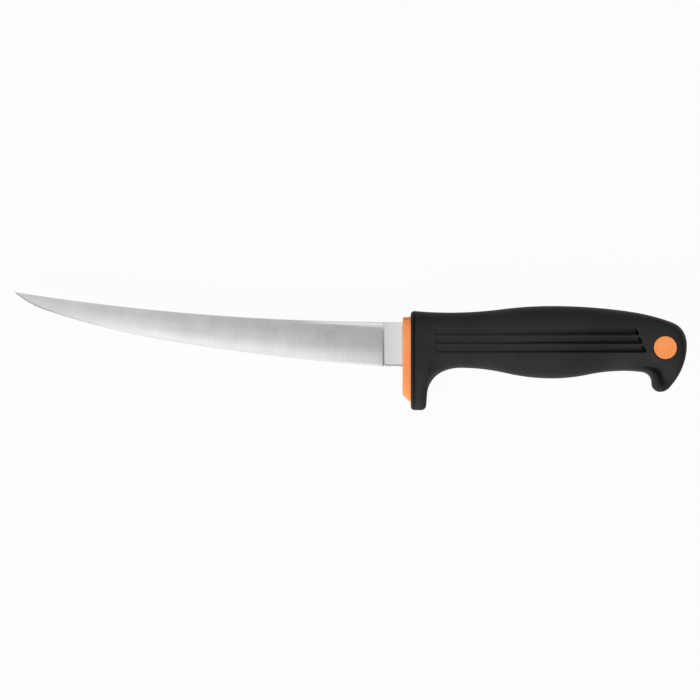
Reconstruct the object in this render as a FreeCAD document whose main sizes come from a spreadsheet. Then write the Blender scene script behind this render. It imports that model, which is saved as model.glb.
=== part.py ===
"""A fillet knife with a two-material handle, lying on its side with the edge towards -Y.

Along is measured from the collar's front face towards the butt, up from the blade's middle line towards
the spine, and out from the blade's middle plane. The finished pieces are then placed so that the origin
is on the table under the middle of the knife: +X runs from the tip to the butt and +Y from the edge to the
spine.
"""

import FreeCAD
import Part
import Sketcher
import math
import os
import re
from FreeCAD import Vector

SIZES = (
    ("blade_length", 178.0, "tip to the collar's front face"),
    ("blade_height", 20.3, "spine to edge at the heel"),
    ("blade_thickness", 1.8, "steel sheet"),
    ("tip_rise", 23.9, "tip above the blade's middle line"),
    ("spine_radius", 1126.0, "upward curve of the spine"),
    ("ricasso_length", 8.3, "unground flat in front of the collar"),
    ("edge_heel_radius", 1078.0, "edge curve near the heel"),
    ("edge_belly_share", 0.61, "where the edge starts to bend more, of the blade's length"),
    ("edge_belly_rise", 1.87, "height of the edge there"),
    ("edge_sweep_share", 0.92, "where the edge sweeps up to the tip, of the blade's length"),
    ("edge_sweep_rise", 15.7, "height of the edge there"),
    ("grind_height", 18.3, "edge to the upper limit of the grind"),
    ("edge_thickness", 0.5, "steel behind the sharpened bevel"),
    ("sharpened_width", 0.8, "width of the sharpened bevel"),
    ("edge_land", 0.04, "width left at the very edge"),
    ("grind_run_out", 3.0, "how far the grinding goes past the steel"),
    ("heel_notch_radius", 0.45, "notch where the edge starts"),
    ("collar_proud", 3.75, "collar in front of the grip"),
    ("collar_sunk", 0.6, "collar let into the grip"),
    ("collar_step", 2.6, "front boss of the collar"),
    ("collar_top", 12.7, "top of the collar"),
    ("collar_nose_foot", -23.4, "foot of the boss at its front face"),
    ("collar_boss_foot", -26.0, "foot of the boss at the flange"),
    ("collar_flange_foot", -26.15, "foot of the flange"),
    ("collar_half_width", 7.0, "half of the collar's width"),
    ("collar_lip", 0.2, "flange beyond the boss"),
    ("collar_rounding", 0.9, "rounded front edge"),
    ("seat_clearance", 0.15, "gap round the collar and the plugs"),
    ("fit_clearance", 0.05, "gap round the tang, the pins and the plug's shank"),
    ("tang_half_height", 5.5, "half of the tang's height"),
    ("core_half_height", 7.2, "half of the core's height"),
    ("core_half_thickness", 6.6, "half of the core's thickness"),
    ("core_rounding", 4.0, "rounded edges of the core"),
    ("pin_radius", 2.0, "pins through the tang"),
    ("pin_half_length", 5.5, "half of a pin's length"),
    ("front_pin_along", 30.0, "first pin"),
    ("pin_spacing", 45.0, "from the first pin to the second"),
    ("plug_from_rear", 10.0, "middle of the butt plug, from the rearmost point"),
    ("plug_rise", -1.5, "height of the butt plug and of the tang's middle line"),
    ("plug_radius", 5.35, "disc of the plug"),
    ("plug_shank_radius", 2.6, "shank of the plug"),
    ("plug_stud_radius", 1.5, "stud that joins the two halves"),
    ("plug_face", 10.0, "outer face of the plug from the middle plane"),
    ("plug_rounding", 0.4, "rounded rim of the disc"),
    ("grip_front_top", 15.3, "top of the grip's front face"),
    ("grip_front_rounding", 1.7, "rounded edge of the front face"),
    ("guard_foot", -30.3, "lowest point of the finger guard"),
    ("guard_back", 10.9, "rear face of the guard near its foot"),
    ("guard_rounding", 2.2, "rounded rear corner of the guard's foot"),
    ("cove_start_along", 11.25, "where the cove behind the guard begins"),
    ("cove_start_rise", -23.8, "its height"),
    ("cove_mid_along", 19.3, "where the cove flattens"),
    ("cove_mid_rise", -12.2, "its height"),
    ("waist_top_along", 22.0, "lowest place of the back in front of the swell"),
    ("waist_top_rise", 14.55, "its height"),
    ("waist_foot_along", 26.5, "highest place of the belly line behind the guard"),
    ("waist_foot_rise", -10.85, "its height"),
    ("swell_along", 68.5, "palm swell"),
    ("swell_top_rise", 17.6, "back at the swell"),
    ("swell_foot_rise", -15.75, "belly at the swell"),
    ("neck_top_from_rear", 25.9, "back in front of the butt, from the rearmost point"),
    ("neck_top_rise", 14.95, "its height"),
    ("neck_foot_from_rear", 29.1, "belly line in front of the hook, from the rearmost point"),
    ("neck_foot_rise", -12.25, "its height"),
    ("butt_top_from_rear", 6.2, "where the back turns down, from the rearmost point"),
    ("butt_top_rise", 9.85, "its height"),
    ("butt_corner_from_rear", 1.2, "rear corner, from the rearmost point"),
    ("butt_corner_rise", 5.2, "its height"),
    ("handle_length", 130.5, "collar's front face to the rearmost point"),
    ("butt_rear_rise", -0.6, "height of the rearmost point"),
    ("hook_back_from_rear", 4.1, "rear of the hook, from the rearmost point"),
    ("hook_back_rise", -14.6, "its height"),
    ("hook_heel_from_rear", 8.25, "rear of the hook's rounded end, from the rearmost point"),
    ("hook_heel_rise", -20.1, "its height"),
    ("hook_foot_from_rear", 12.0, "lowest point of the hook, from the rearmost point"),
    ("hook_foot_rise", -21.85, "its height"),
    ("hook_root_from_rear", 20.5, "where the belly line bends into the hook, from the rearmost point"),
    ("hook_root_rise", -12.85, "its height"),
    ("hook_front_from_rear", 16.35, "front of the hook, from the rearmost point"),
    ("hook_front_rise", -17.8, "its height"),
    ("front_half_width", 10.8, "half of the grip's width at the guard"),
    ("waist_half_width", 10.0, "half of the grip's width at the waist"),
    ("swell_half_width", 11.5, "half of the grip's width at the swell"),
    ("neck_half_width", 10.4, "half of the grip's width in front of the butt"),
    ("groove_height", 2.8, "height of a finger groove"),
    ("groove_pitch", 4.0, "from one groove to the next"),
    ("groove_middle_rise", 1.9, "middle groove"),
    ("groove_front_along", 14.6, "front ends of the grooves"),
    ("groove_rear_from_rear", 21.15, "rear end of the middle groove, from the rearmost point"),
    ("groove_rear_lean", 0.42, "lean of the rear ends, along for each unit down"),
    ("groove_front_depth", 0.6, "depth where a groove starts"),
    ("groove_rear_depth", 1.1, "depth from the swell back"),
)

# The grip's section is squarer at the guard and the butt than in the hand, and the guard tapers down.
# The collar has nearly flat sides.
FRONT_SQUARENESS = 2.7
COLLAR_SQUARENESS = 5.0
HAND_SQUARENESS = 2.5
BUTT_SQUARENESS = 4.0
BUTT_FLAT_SHARE = 0.3
GUARD_TAPER = 0.12
HOOK_ROUNDNESS = 4
SECTION_POINTS = 16
GROOVES = 3
PINS = 2

# Steps between the sections of the grip along each stretch of its outline.
FRONT_ROUNDING_STEPS = 4
GUARD_SOLE_STEPS = 5
GUARD_HEEL_STEPS = 5
COVE_STEPS = 16
COVE_CROWDING = 1.35
HAND_STEPS = 12
HOOK_STEPS = 28
HOOK_CROWDING = 1.5
FINE_STEPS = 2000
SKIN_DEGREE = 3
NEAR = 1e-4

doc = FreeCAD.newDocument("FilletKnife")
sheet = doc.addObject("Spreadsheet::Sheet", "Sizes")
for row, (alias, number, note) in enumerate(SIZES, 1):
    sheet.set(f"A{row}", note)
    sheet.set(f"B{row}", str(number))
    sheet.setAlias(f"B{row}", alias)
doc.recompute()

COLLAR_DEPTH = "(collar_proud + collar_sunk)"
MIDDLE_ALONG = "((handle_length - blade_length) / 2)"
MIDDLE_RISE = "((tip_rise + guard_foot) / 2)"
PLUG_ALONG = "(handle_length - plug_from_rear)"


def cells(expression):
    """The expression with its words read as cells of the sheet."""
    return re.sub(r"\b[a-z]\w*", lambda word: "Sizes." + word.group(), str(expression))


def size(expression):
    return float(sheet.evalExpression(cells(expression)))


def spot(along, up):
    return Vector(size(along), size(up), 0)


def rear_spot(place):
    """A point of the outline that keeps its distance from the rearmost point."""
    return spot(f"handle_length - {place}_from_rear", f"{place}_rise")


def bind(thing, **sizes):
    for name, expression in sizes.items():
        thing.setExpression(name.replace("__", "."), cells(expression))


def angle_of(vector):
    return math.atan2(vector.y, vector.x)


def half_turn_between(heading, chord):
    """The signed angle from a heading to a chord."""
    turn = angle_of(chord) - angle_of(heading)
    return (turn + math.pi) % (2 * math.pi) - math.pi


def turned(vector, angle):
    return FreeCAD.Rotation(Vector(0, 0, 1), math.degrees(angle)).multVec(vector)


def add_arc(sketch, start, stop, half_turn):
    """Adds an arc and says which of its ends lies at start and which at stop."""
    chord = stop - start
    left = turned(chord, math.pi / 2)
    centre = (start + stop) / 2 + left / (2 * math.tan(half_turn))
    first, last = (start, stop) if half_turn > 0 else (stop, start)
    circle = Part.Circle(centre, Vector(0, 0, 1), (start - centre).Length)
    begin = angle_of(first - centre)
    finish = angle_of(last - centre)
    if finish < begin:
        finish += 2 * math.pi
    run = sketch.addGeometry(Part.ArcOfCircle(circle, begin, finish))
    return (run, 1, 2) if half_turn > 0 else (run, 2, 1)


def pin_down(sketch, run, end, along, up):
    """Binds one point of a sketch to the sheet."""
    for axis, expression in (("X", along), ("Y", up)):
        constraint = Sketcher.Constraint("Distance" + axis, -1, 1, run, end, size(expression))
        number = sketch.addConstraint(constraint)
        sketch.setExpression(f"Constraints[{number}]", cells(expression))


def bind_radius(sketch, run, radius):
    number = sketch.addConstraint(Sketcher.Constraint("Radius", run, size(radius)))
    sketch.setExpression(f"Constraints[{number}]", cells(radius))


def draw(sketch, corners, closed=True):
    """Draws an outline through corners of the form (along, up, run).

    The run is how the outline leaves the corner: "line", an arc as (radius, +1 for a left turn or -1 for a
    right turn), or "smooth", an arc that carries straight on from the run before it.
    """
    points = [spot(along, up) for along, up, _ in corners]
    pairs = list(zip(points, points[1:] + points[:1]))
    runs = []
    heading = None
    for (start, stop), (along, up, kind) in zip(pairs if closed else pairs[:-1], corners):
        chord = stop - start
        if kind == "line":
            placed = (sketch.addGeometry(Part.LineSegment(start, stop)), 1, 2)
            heading = chord
        else:
            if kind == "smooth":
                half_turn = half_turn_between(heading, chord)
            else:
                half_turn = kind[1] * math.asin(chord.Length / 2 / size(kind[0]))
            placed = add_arc(sketch, start, stop, half_turn)
            heading = turned(chord, half_turn)
            if kind != "smooth":
                bind_radius(sketch, placed[0], kind[0])
        if runs:
            joint = "Tangent" if kind == "smooth" else "Coincident"
            before = runs[-1]
            sketch.addConstraint(Sketcher.Constraint(joint, before[0], before[2], placed[0], placed[1]))
        pin_down(sketch, placed[0], placed[1], along, up)
        runs.append(placed)
    last = runs[-1]
    if closed:
        first = runs[0]
        sketch.addConstraint(Sketcher.Constraint("Coincident", last[0], last[2], first[0], first[1]))
    else:
        pin_down(sketch, last[0], last[2], *corners[-1][:2])
    return sketch


def draw_ring(sketch, along, up, radius):
    run = sketch.addGeometry(Part.Circle(spot(along, up), Vector(0, 0, 1), size(radius)))
    pin_down(sketch, run, 3, along, up)
    bind_radius(sketch, run, radius)


def body_sketch(body, name, plane):
    sketch = body.newObject("Sketcher::SketchObject", name)
    origin = next(part for part in body.Origin.OriginFeatures if part.Role == plane)
    sketch.AttachmentSupport = [(origin, "")]
    sketch.MapMode = "FlatFace"
    return sketch


def slab(name, corners, half_thickness):
    """An outline thickened equally to both sides of the middle plane."""
    sketch = doc.addObject("Sketcher::SketchObject", name + "_outline")
    draw(sketch, corners)
    solid = doc.addObject("Part::Extrusion", name)
    solid.Base = sketch
    solid.DirMode = "Normal"
    solid.Solid = True
    solid.Symmetric = True
    bind(solid, LengthFwd=f"2 * {half_thickness}")
    return solid


def rod(name, along, radius, half_length):
    """A round bar across the middle plane, on the tang's middle line."""
    bar = doc.addObject("Part::Cylinder", name)
    bind(bar, Radius=radius, Height=f"2 * {half_length}")
    bind(
        bar,
        Placement__Base__x=along,
        Placement__Base__y="plug_rise",
        Placement__Base__z=f"-({half_length})",
    )
    return bar


def pin_place(pin):
    return f"front_pin_along + {pin} * pin_spacing"


def cut(name, base, tool):
    result = doc.addObject("Part::Cut", name)
    result.Base = base
    result.Tool = tool
    return result


def round_edges(name, base, radius, chosen):
    """Rounds the edges that the test picks."""
    doc.recompute()
    result = doc.addObject("Part::Fillet", name)
    result.Base = base
    edges = enumerate(base.Shape.Edges, 1)
    result.Edges = [(number, size(radius), size(radius)) for number, edge in edges if chosen(edge)]
    return result


def bar_outline(half_height, front=COLLAR_DEPTH):
    """A straight bar on the tang's middle line with a round end about the butt plug."""
    top = f"plug_rise + {half_height}"
    foot = f"plug_rise - ({half_height})"
    return [
        (front, top, "line"),
        (PLUG_ALONG, top, "smooth"),
        (PLUG_ALONG, foot, "line"),
        (front, foot, "line"),
    ]


def settle(thing, label):
    """Names a finished piece and moves it from the blade's own lines to the table."""
    thing.Label = label
    bind(
        thing,
        Placement__Base__x=f"-{MIDDLE_ALONG}",
        Placement__Base__y=f"-{MIDDLE_RISE}",
        Placement__Base__z="swell_half_width",
    )
    return thing


def make_blade():
    body = doc.addObject("PartDesign::Body", "Blade")
    edge = [
        ("-ricasso_length", "-blade_height / 2", ("edge_heel_radius", -1)),
        ("-edge_belly_share * blade_length", "edge_belly_rise", "smooth"),
        ("-edge_sweep_share * blade_length", "edge_sweep_rise", "smooth"),
    ]
    tip = ("-blade_length", "tip_rise")
    tang_top = "plug_rise + tang_half_height"
    tang_foot = "plug_rise - tang_half_height"
    outline = draw(
        body_sketch(body, "blade_outline", "XY_Plane"),
        [
            (*tip, ("spine_radius", 1)),
            ("-ricasso_length", "blade_height / 2", "line"),
            (COLLAR_DEPTH, "blade_height / 2", "line"),
            (COLLAR_DEPTH, tang_top, "line"),
            (PLUG_ALONG, tang_top, "smooth"),
            (PLUG_ALONG, tang_foot, "line"),
            (COLLAR_DEPTH, tang_foot, "line"),
            (COLLAR_DEPTH, "-blade_height / 2", "line"),
            *edge,
        ],
    )
    draw_ring(outline, PLUG_ALONG, "plug_rise", "plug_shank_radius + fit_clearance")
    for pin in range(PINS):
        draw_ring(outline, pin_place(pin), "plug_rise", "pin_radius + fit_clearance")
    blank = body.newObject("PartDesign::Pad", "blade_blank")
    blank.Profile = outline
    blank.SideType = "Symmetric"
    bind(blank, Length="blade_thickness")
    doc.recompute()

    path = draw(body_sketch(body, "edge_path", "XY_Plane"), [*edge, (*tip, None)], closed=False)
    section = body_sketch(body, "grind_section", "YZ_Plane")
    bind(section, AttachmentOffset__Base__z="-ricasso_length")
    heel = "-blade_height / 2"
    past_top = f"{heel} + grind_height + grind_run_out"
    past_foot = f"{heel} - grind_run_out"
    slope = "(blade_thickness - edge_thickness) / 2 / (grind_height - sharpened_width)"
    draw(
        section,
        [
            (past_foot, "edge_land / 2", "line"),
            (heel, "edge_land / 2", "line"),
            (f"{heel} + sharpened_width", "edge_thickness / 2", "line"),
            (past_top, f"blade_thickness / 2 + grind_run_out * {slope}", "line"),
            (past_top, "blade_thickness + grind_run_out", "line"),
            (past_foot, "blade_thickness + grind_run_out", "line"),
        ],
    )
    grind = body.newObject("PartDesign::SubtractivePipe", "left_grind")
    grind.Profile = section
    grind.Spine = (path, ["Edge1", "Edge2", "Edge3"])
    doc.recompute()
    other_side = body.newObject("PartDesign::Mirrored", "right_grind")
    other_side.Originals = [grind]
    middle = next(part for part in body.Origin.OriginFeatures if part.Role == "XY_Plane")
    other_side.MirrorPlane = (middle, [""])
    body.Tip = other_side
    doc.recompute()

    notch_outline = body_sketch(body, "heel_notch_outline", "XY_Plane")
    draw_ring(notch_outline, "-ricasso_length", heel, "heel_notch_radius")
    notch = body.newObject("PartDesign::Pocket", "heel_notch")
    notch.Profile = notch_outline
    notch.Type = "ThroughAll"
    notch.SideType = "Symmetric"
    body.Tip = notch
    return settle(body, "blade")


def oval(top, foot, half_width, squareness, taper=0.0):
    """A closed curve between two facing points of the outline, rounder or squarer than an ellipse."""
    middle = (top + foot) / 2
    reach = (top - foot) / 2
    points = []
    for step in range(SECTION_POINTS):
        turn = 2 * math.pi * step / SECTION_POINTS - math.pi / 2
        lift = math.copysign(abs(math.sin(turn)) ** (2 / squareness), math.sin(turn))
        swing = math.copysign(abs(math.cos(turn)) ** (2 / squareness), math.cos(turn))
        points.append(middle + reach * lift + Vector(0, 0, half_width * swing * (1 + taper * lift)))
    curve = Part.BSplineCurve()
    even = [float(step) for step in range(SECTION_POINTS + 1)]
    curve.interpolate(Points=points, PeriodicFlag=True, Parameters=even)
    return curve


def section_feature(name, wire):
    feature = doc.addObject("Part::Feature", name)
    feature.Shape = wire
    return feature


def smooth_chain(points, heading):
    """A line of arcs through points, each carrying straight on from the one before."""
    arcs = []
    for start, stop in zip(points, points[1:]):
        chord = stop - start
        half_turn = half_turn_between(heading, chord)
        left = turned(chord, math.pi / 2)
        middle = (start + stop) / 2 - left * math.tan(half_turn / 2) / 2
        straight = abs(half_turn) < NEAR
        arcs.append(Part.LineSegment(start, stop) if straight else Part.Arc(start, middle, stop))
        heading = turned(chord, half_turn)
    return Part.Wire([arc.toShape() for arc in arcs])


def wave(start, stop):
    """An S of two equal arcs that is level at both ends."""
    return smooth_chain([start, (start + stop) / 2, stop], Vector(1, 0, 0))


def eased(first, last, share):
    return first + (last - first) * share * share * (3 - 2 * share)


def picked(wire, shares):
    """Points of a wire at shares of its length."""
    fine = wire.discretize(Number=FINE_STEPS + 1)
    return [fine[round(share * FINE_STEPS)] for share in shares]


def evenly(count):
    return [step / count for step in range(count)]


def grip_sections(groove_floor=False):
    """Sections from the guard to the hook, each across two facing points of the back and the belly line."""
    level = Vector(1, 0, 0)
    waist_top = spot("waist_top_along", "waist_top_rise")
    waist_foot = spot("waist_foot_along", "waist_foot_rise")
    swell_top = spot("swell_along", "swell_top_rise")
    swell_foot = spot("swell_along", "swell_foot_rise")
    neck_top = rear_spot("neck_top")
    neck_foot = rear_spot("neck_foot")
    hook_foot = rear_spot("hook_foot")
    guard_corner = spot("guard_back - guard_rounding", "guard_foot")
    guard_rear = spot("guard_back", "guard_foot + guard_rounding")
    cove_start = spot("cove_start_along", "cove_start_rise")
    cove_middle = spot("cove_mid_along", "cove_mid_rise")

    front_top = spot("collar_proud + grip_front_rounding", "grip_front_top")
    front_foot = spot("collar_proud + grip_front_rounding", "guard_foot")
    front_back = smooth_chain([waist_top, front_top], -level)
    guard_sole = Part.Wire(Part.LineSegment(front_foot, guard_corner).toShape())
    guard_heel = smooth_chain([guard_corner, guard_rear], level)
    inner_face = Part.LineSegment(guard_rear, cove_start).toShape()
    cove = smooth_chain([cove_start, cove_middle, waist_foot], Vector(0, 1, 0))
    front_feet = (
        picked(guard_sole, evenly(GUARD_SOLE_STEPS))
        + picked(guard_heel, evenly(GUARD_HEEL_STEPS))
        + picked(
            Part.Wire([inner_face, *cove.OrderedEdges]),
            [share**COVE_CROWDING for share in evenly(COVE_STEPS)],
        )
    )
    front_tops = picked(front_back, [1 - share for share in evenly(len(front_feet))])

    # The back rises over the swell, falls, and turns down round the butt to the foot of the hook.
    rear_back = smooth_chain(
        [
            swell_top,
            neck_top,
            rear_spot("butt_top"),
            rear_spot("butt_corner"),
            spot("handle_length", "butt_rear_rise"),
            rear_spot("hook_back"),
            rear_spot("hook_heel"),
            hook_foot,
        ],
        level,
    )
    neck_back = Part.Wire(rear_back.OrderedEdges[0])
    butt_back = Part.Wire(rear_back.OrderedEdges[1:])
    hook_belly = smooth_chain(
        [
            neck_foot,
            rear_spot("hook_root"),
            rear_spot("hook_front"),
            hook_foot,
        ],
        level,
    )
    hand = evenly(HAND_STEPS)
    hook = [1 - (1 - share) ** HOOK_CROWDING for share in evenly(HOOK_STEPS)]
    front_width = size("front_half_width")
    waist_width = size("waist_half_width")
    swell_width = size("swell_half_width")
    neck_width = size("neck_half_width")
    shallow = size("groove_front_depth")
    deep = size("groove_rear_depth")

    sections = []

    def add(top, foot, width, depth, squareness, taper=0.0):
        half_width = width - depth if groove_floor else width
        sections.append(oval(top, foot, half_width, squareness, taper))

    rounding = size("grip_front_rounding")
    for share in evenly(FRONT_ROUNDING_STEPS):
        turn = share * math.pi / 2
        inset = rounding * (1 - math.sin(turn))
        forward = Vector(-rounding * math.cos(turn), 0, 0)
        drawn_in = Vector(0, inset, 0)
        top = front_top + forward - drawn_in
        foot = front_foot + forward + drawn_in
        add(top, foot, front_width - inset, shallow, FRONT_SQUARENESS, GUARD_TAPER)
    for share, top, foot in zip(evenly(len(front_feet)), front_tops, front_feet):
        squareness = eased(FRONT_SQUARENESS, HAND_SQUARENESS, share)
        taper = eased(GUARD_TAPER, 0, share)
        add(top, foot, eased(front_width, waist_width, share), shallow, squareness, taper)
    for share, top, foot in zip(
        hand, picked(wave(waist_top, swell_top), hand), picked(wave(waist_foot, swell_foot), hand)
    ):
        depth = eased(shallow, deep, share)
        add(top, foot, eased(waist_width, swell_width, share), depth, HAND_SQUARENESS)
    for share, top, foot in zip(hand, picked(neck_back, hand), picked(wave(swell_foot, neck_foot), hand)):
        add(top, foot, eased(swell_width, neck_width, share), deep, HAND_SQUARENESS)
    for share, top, foot in zip(hook, picked(butt_back, hook), picked(hook_belly, hook)):
        width = neck_width * (1 - share**HOOK_ROUNDNESS) ** (1 / HOOK_ROUNDNESS)
        flatness = min(1, share / BUTT_FLAT_SHARE)
        add(top, foot, width, deep, eased(HAND_SQUARENESS, BUTT_SQUARENESS, flatness))
    return sections


def skinned(name, sections):
    """A solid whose smooth skin runs over closed sections, with a flat face at each end."""
    rows = len(sections)
    around = sections[0]
    spans = rows - SKIN_DEGREE
    skin = Part.BSplineSurface()
    skin.buildFromPolesMultsKnots(
        [section.getPoles() for section in sections],
        [SKIN_DEGREE + 1] + [1] * (spans - 1) + [SKIN_DEGREE + 1],
        around.getMultiplicities(),
        [float(knot) for knot in range(spans + 1)],
        around.getKnots(),
        False,
        True,
        SKIN_DEGREE,
        around.Degree,
    )
    side = skin.toShape()
    rims = [edge for edge in side.Edges if edge.isClosed()]
    ends = [Part.Face(Part.Wire(rim)) for rim in rims]
    solid = Part.Solid(Part.Shell([side, *ends]))
    solid.fix(NEAR, NEAR, NEAR)
    feature = doc.addObject("Part::Feature", name)
    feature.Shape = solid
    return feature


def ruled_loft(name, curves):
    solid = doc.addObject("Part::Loft", name)
    solid.Sections = [
        section_feature(f"{name}_section_{number}", Part.Wire(curve.toShape()))
        for number, curve in enumerate(curves)
    ]
    solid.Solid = True
    solid.Ruled = True
    return solid


def collar_oval(along, foot, margin):
    """The collar's outline at a place along the blade, grown or drawn in by a margin."""
    growth = Vector(0, size(margin), 0)
    half_width = size("collar_half_width") + size(margin)
    top = spot(along, "collar_top") + growth
    return oval(top, spot(along, foot) - growth, half_width, COLLAR_SQUARENESS)


def make_collar():
    boss = ruled_loft(
        "collar_boss",
        [
            collar_oval(0, "collar_nose_foot", "-collar_lip"),
            collar_oval("collar_step", "collar_boss_foot", "-collar_lip"),
        ],
    )
    softened = round_edges(
        "collar_nose",
        boss,
        "collar_rounding",
        lambda edge: all(abs(corner.X) < NEAR for corner in edge.Vertexes),
    )
    flange = ruled_loft(
        "collar_flange",
        [
            collar_oval("collar_step", "collar_flange_foot", 0),
            collar_oval(COLLAR_DEPTH, "collar_flange_foot", 0),
        ],
    )
    whole = doc.addObject("Part::Fuse", "collar_whole")
    whole.Base = softened
    whole.Tool = flange
    slot = doc.addObject("Part::Box", "blade_slot")
    height = "(blade_height + 2 * fit_clearance)"
    thickness = "(blade_thickness + 2 * fit_clearance)"
    bind(slot, Length=f"{COLLAR_DEPTH} + 2 * collar_proud", Width=height, Height=thickness)
    bind(
        slot,
        Placement__Base__x="-collar_proud",
        Placement__Base__y=f"-{height} / 2",
        Placement__Base__z=f"-{thickness} / 2",
    )
    return settle(cut("collar_slotted", whole, slot), "front_collar")


def make_core_form():
    """The outer form of the two core halves, which the soft grip is moulded around."""
    bar = slab("core_bar", bar_outline("core_half_height"), "core_half_thickness")
    front = size(COLLAR_DEPTH)
    face = size("core_half_thickness")

    def outer(edge):
        on_a_side = all(abs(abs(corner.Z) - face) < NEAR for corner in edge.Vertexes)
        on_the_front = all(abs(corner.X - front) < NEAR for corner in edge.Vertexes)
        return on_a_side and not on_the_front

    return round_edges("core_form", bar, "core_rounding", outer)


def make_core_half(core_form, hollow, side, label):
    half_space = doc.addObject("Part::Box", f"{label}_space")
    bind(
        half_space,
        Length="2 * handle_length",
        Width="4 * core_half_height",
        Height="2 * core_half_thickness",
        Placement__Base__y="plug_rise - 2 * core_half_height",
    )
    if side < 0:
        bind(half_space, Placement__Base__z="-2 * core_half_thickness")
    half = doc.addObject("Part::Common", f"{label}_block")
    half.Base = core_form
    half.Tool = half_space
    return settle(cut(f"{label}_hollowed", half, hollow), label)


def make_core_hollow():
    """The space for the tang, the pins and the plug's shank in the two core halves."""
    tang = slab("tang_space", bar_outline("(tang_half_height + fit_clearance)"), "blade_thickness / 2")
    shank_radius = "plug_shank_radius + fit_clearance"
    shank = rod("shank_space", PLUG_ALONG, shank_radius, "2 * core_half_thickness")
    radius = "pin_radius + fit_clearance"
    half_length = "(pin_half_length + fit_clearance)"
    pins = [rod(f"pin_space_{pin}", pin_place(pin), radius, half_length) for pin in range(PINS)]
    hollow = doc.addObject("Part::MultiFuse", "core_hollow")
    hollow.Shapes = [tang, shank, *pins]
    return hollow


def make_pins():
    pins = doc.addObject("Part::Compound", "Pins")
    pins.Links = [rod(f"pin_{pin}", pin_place(pin), "pin_radius", "pin_half_length") for pin in range(PINS)]
    return settle(pins, "tang_pins")


def make_plug(label, side, profile):
    """Half of the butt plug, turned about its own axis."""
    body = doc.addObject("PartDesign::Body", label.title().replace("_", ""))
    sketch = body_sketch(body, f"{label}_profile", "XZ_Plane")
    head = [
        ("plug_shank_radius", f"{side} * core_half_thickness", "line"),
        ("plug_radius", f"{side} * core_half_thickness", "line"),
        ("plug_radius", f"{side} * (plug_face - plug_rounding)", ("plug_rounding", side)),
        ("plug_radius - plug_rounding", f"{side} * plug_face", "line"),
        (0, f"{side} * plug_face", "line"),
    ]
    draw(sketch, [*head, *profile])
    turned_solid = body.newObject("PartDesign::Revolution", f"{label}_solid")
    turned_solid.Profile = sketch
    turned_solid.ReferenceAxis = (sketch, ["V_Axis"])
    turned_solid.Angle = 360
    body.Tip = turned_solid
    settle(body, label)
    bind(
        body,
        Placement__Base__x=f"{PLUG_ALONG} - {MIDDLE_ALONG}",
        Placement__Base__y=f"plug_rise - {MIDDLE_RISE}",
    )
    return body


def make_plugs():
    tang_face = "-blade_thickness / 2"
    stud_end = "-(core_half_thickness - blade_thickness / 2)"
    left = make_plug(
        "butt_plug_left",
        1,
        [
            (0, stud_end, "line"),
            ("plug_stud_radius", stud_end, "line"),
            ("plug_stud_radius", tang_face, "line"),
            ("plug_shank_radius", tang_face, "line"),
        ],
    )
    socket_radius = "plug_stud_radius + fit_clearance"
    socket_end = f"{stud_end} - fit_clearance"
    right = make_plug(
        "butt_plug_right",
        -1,
        [
            (0, socket_end, "line"),
            (socket_radius, socket_end, "line"),
            (socket_radius, tang_face, "line"),
            ("plug_shank_radius", tang_face, "line"),
        ],
    )
    return [left, right]


def make_grooves():
    """Three grooves on each side, cut down to a floor that follows the side of the grip."""
    sketch = doc.addObject("Sketcher::SketchObject", "groove_outline")
    for groove in range(GROOVES):
        middle = f"(groove_middle_rise - ({groove} - {GROOVES // 2}) * groove_pitch)"
        top = f"({middle} + groove_height / 2)"
        foot = f"({middle} - groove_height / 2)"
        rear = "handle_length - groove_rear_from_rear + groove_rear_lean * (groove_middle_rise - {})"
        draw(
            sketch,
            [
                ("groove_front_along", top, "line"),
                (rear.format(top), top, "line"),
                (rear.format(foot), foot, "line"),
                ("groove_front_along", foot, "line"),
            ],
        )
    bars = doc.addObject("Part::Extrusion", "groove_bars")
    bars.Base = sketch
    bars.DirMode = "Normal"
    bars.Solid = True
    bars.Symmetric = True
    bind(bars, LengthFwd="4 * swell_half_width")
    return cut("grooves", bars, skinned("groove_floor", grip_sections(groove_floor=True)))


def make_grip(core_form):
    outer = skinned("grip_outer", grip_sections())
    seat = ruled_loft(
        "collar_seat",
        [
            collar_oval(0, "collar_flange_foot", "seat_clearance"),
            collar_oval(COLLAR_DEPTH, "collar_flange_foot", "seat_clearance"),
        ],
    )
    bore = rod("plug_bore", PLUG_ALONG, "plug_radius + seat_clearance", "2 * swell_half_width")
    grip = cut("grip_around_core", outer, core_form)
    grip = cut("grip_seated", grip, seat)
    grip = cut("grip_bored", grip, bore)
    grip = cut("grip_grooved", grip, make_grooves())
    return settle(grip, "grip")


core_form = make_core_form()
hollow = make_core_hollow()
pieces = [
    make_blade(),
    make_collar(),
    make_core_half(core_form, hollow, 1, "core_left_half"),
    make_core_half(core_form, hollow, -1, "core_right_half"),
    make_pins(),
    *make_plugs(),
    make_grip(core_form),
]
doc.recompute()

failed = [thing.Label for thing in doc.Objects if {"Invalid", "Error"} & set(thing.State)]
if failed:
    raise RuntimeError(f"failed: {failed}")
for piece in pieces:
    if piece.Shape.isNull() or not piece.Shape.isValid() or piece.Shape.Volume <= 0:
        raise RuntimeError(f"{piece.Label} has no valid solid")

os.makedirs("parts", exist_ok=True)
for piece in pieces:
    piece.Shape.exportStep(f"parts/{piece.Label}.step")
    box = piece.Shape.BoundBox
    solids = len(piece.Shape.Solids)
    volume = piece.Shape.Volume / 1000
    extents = " x ".join(f"{extent:.1f}" for extent in (box.XLength, box.YLength, box.ZLength))
    print(f"{piece.Label}: {solids} solid(s), {volume:.2f} cm3, {extents} mm")
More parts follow.
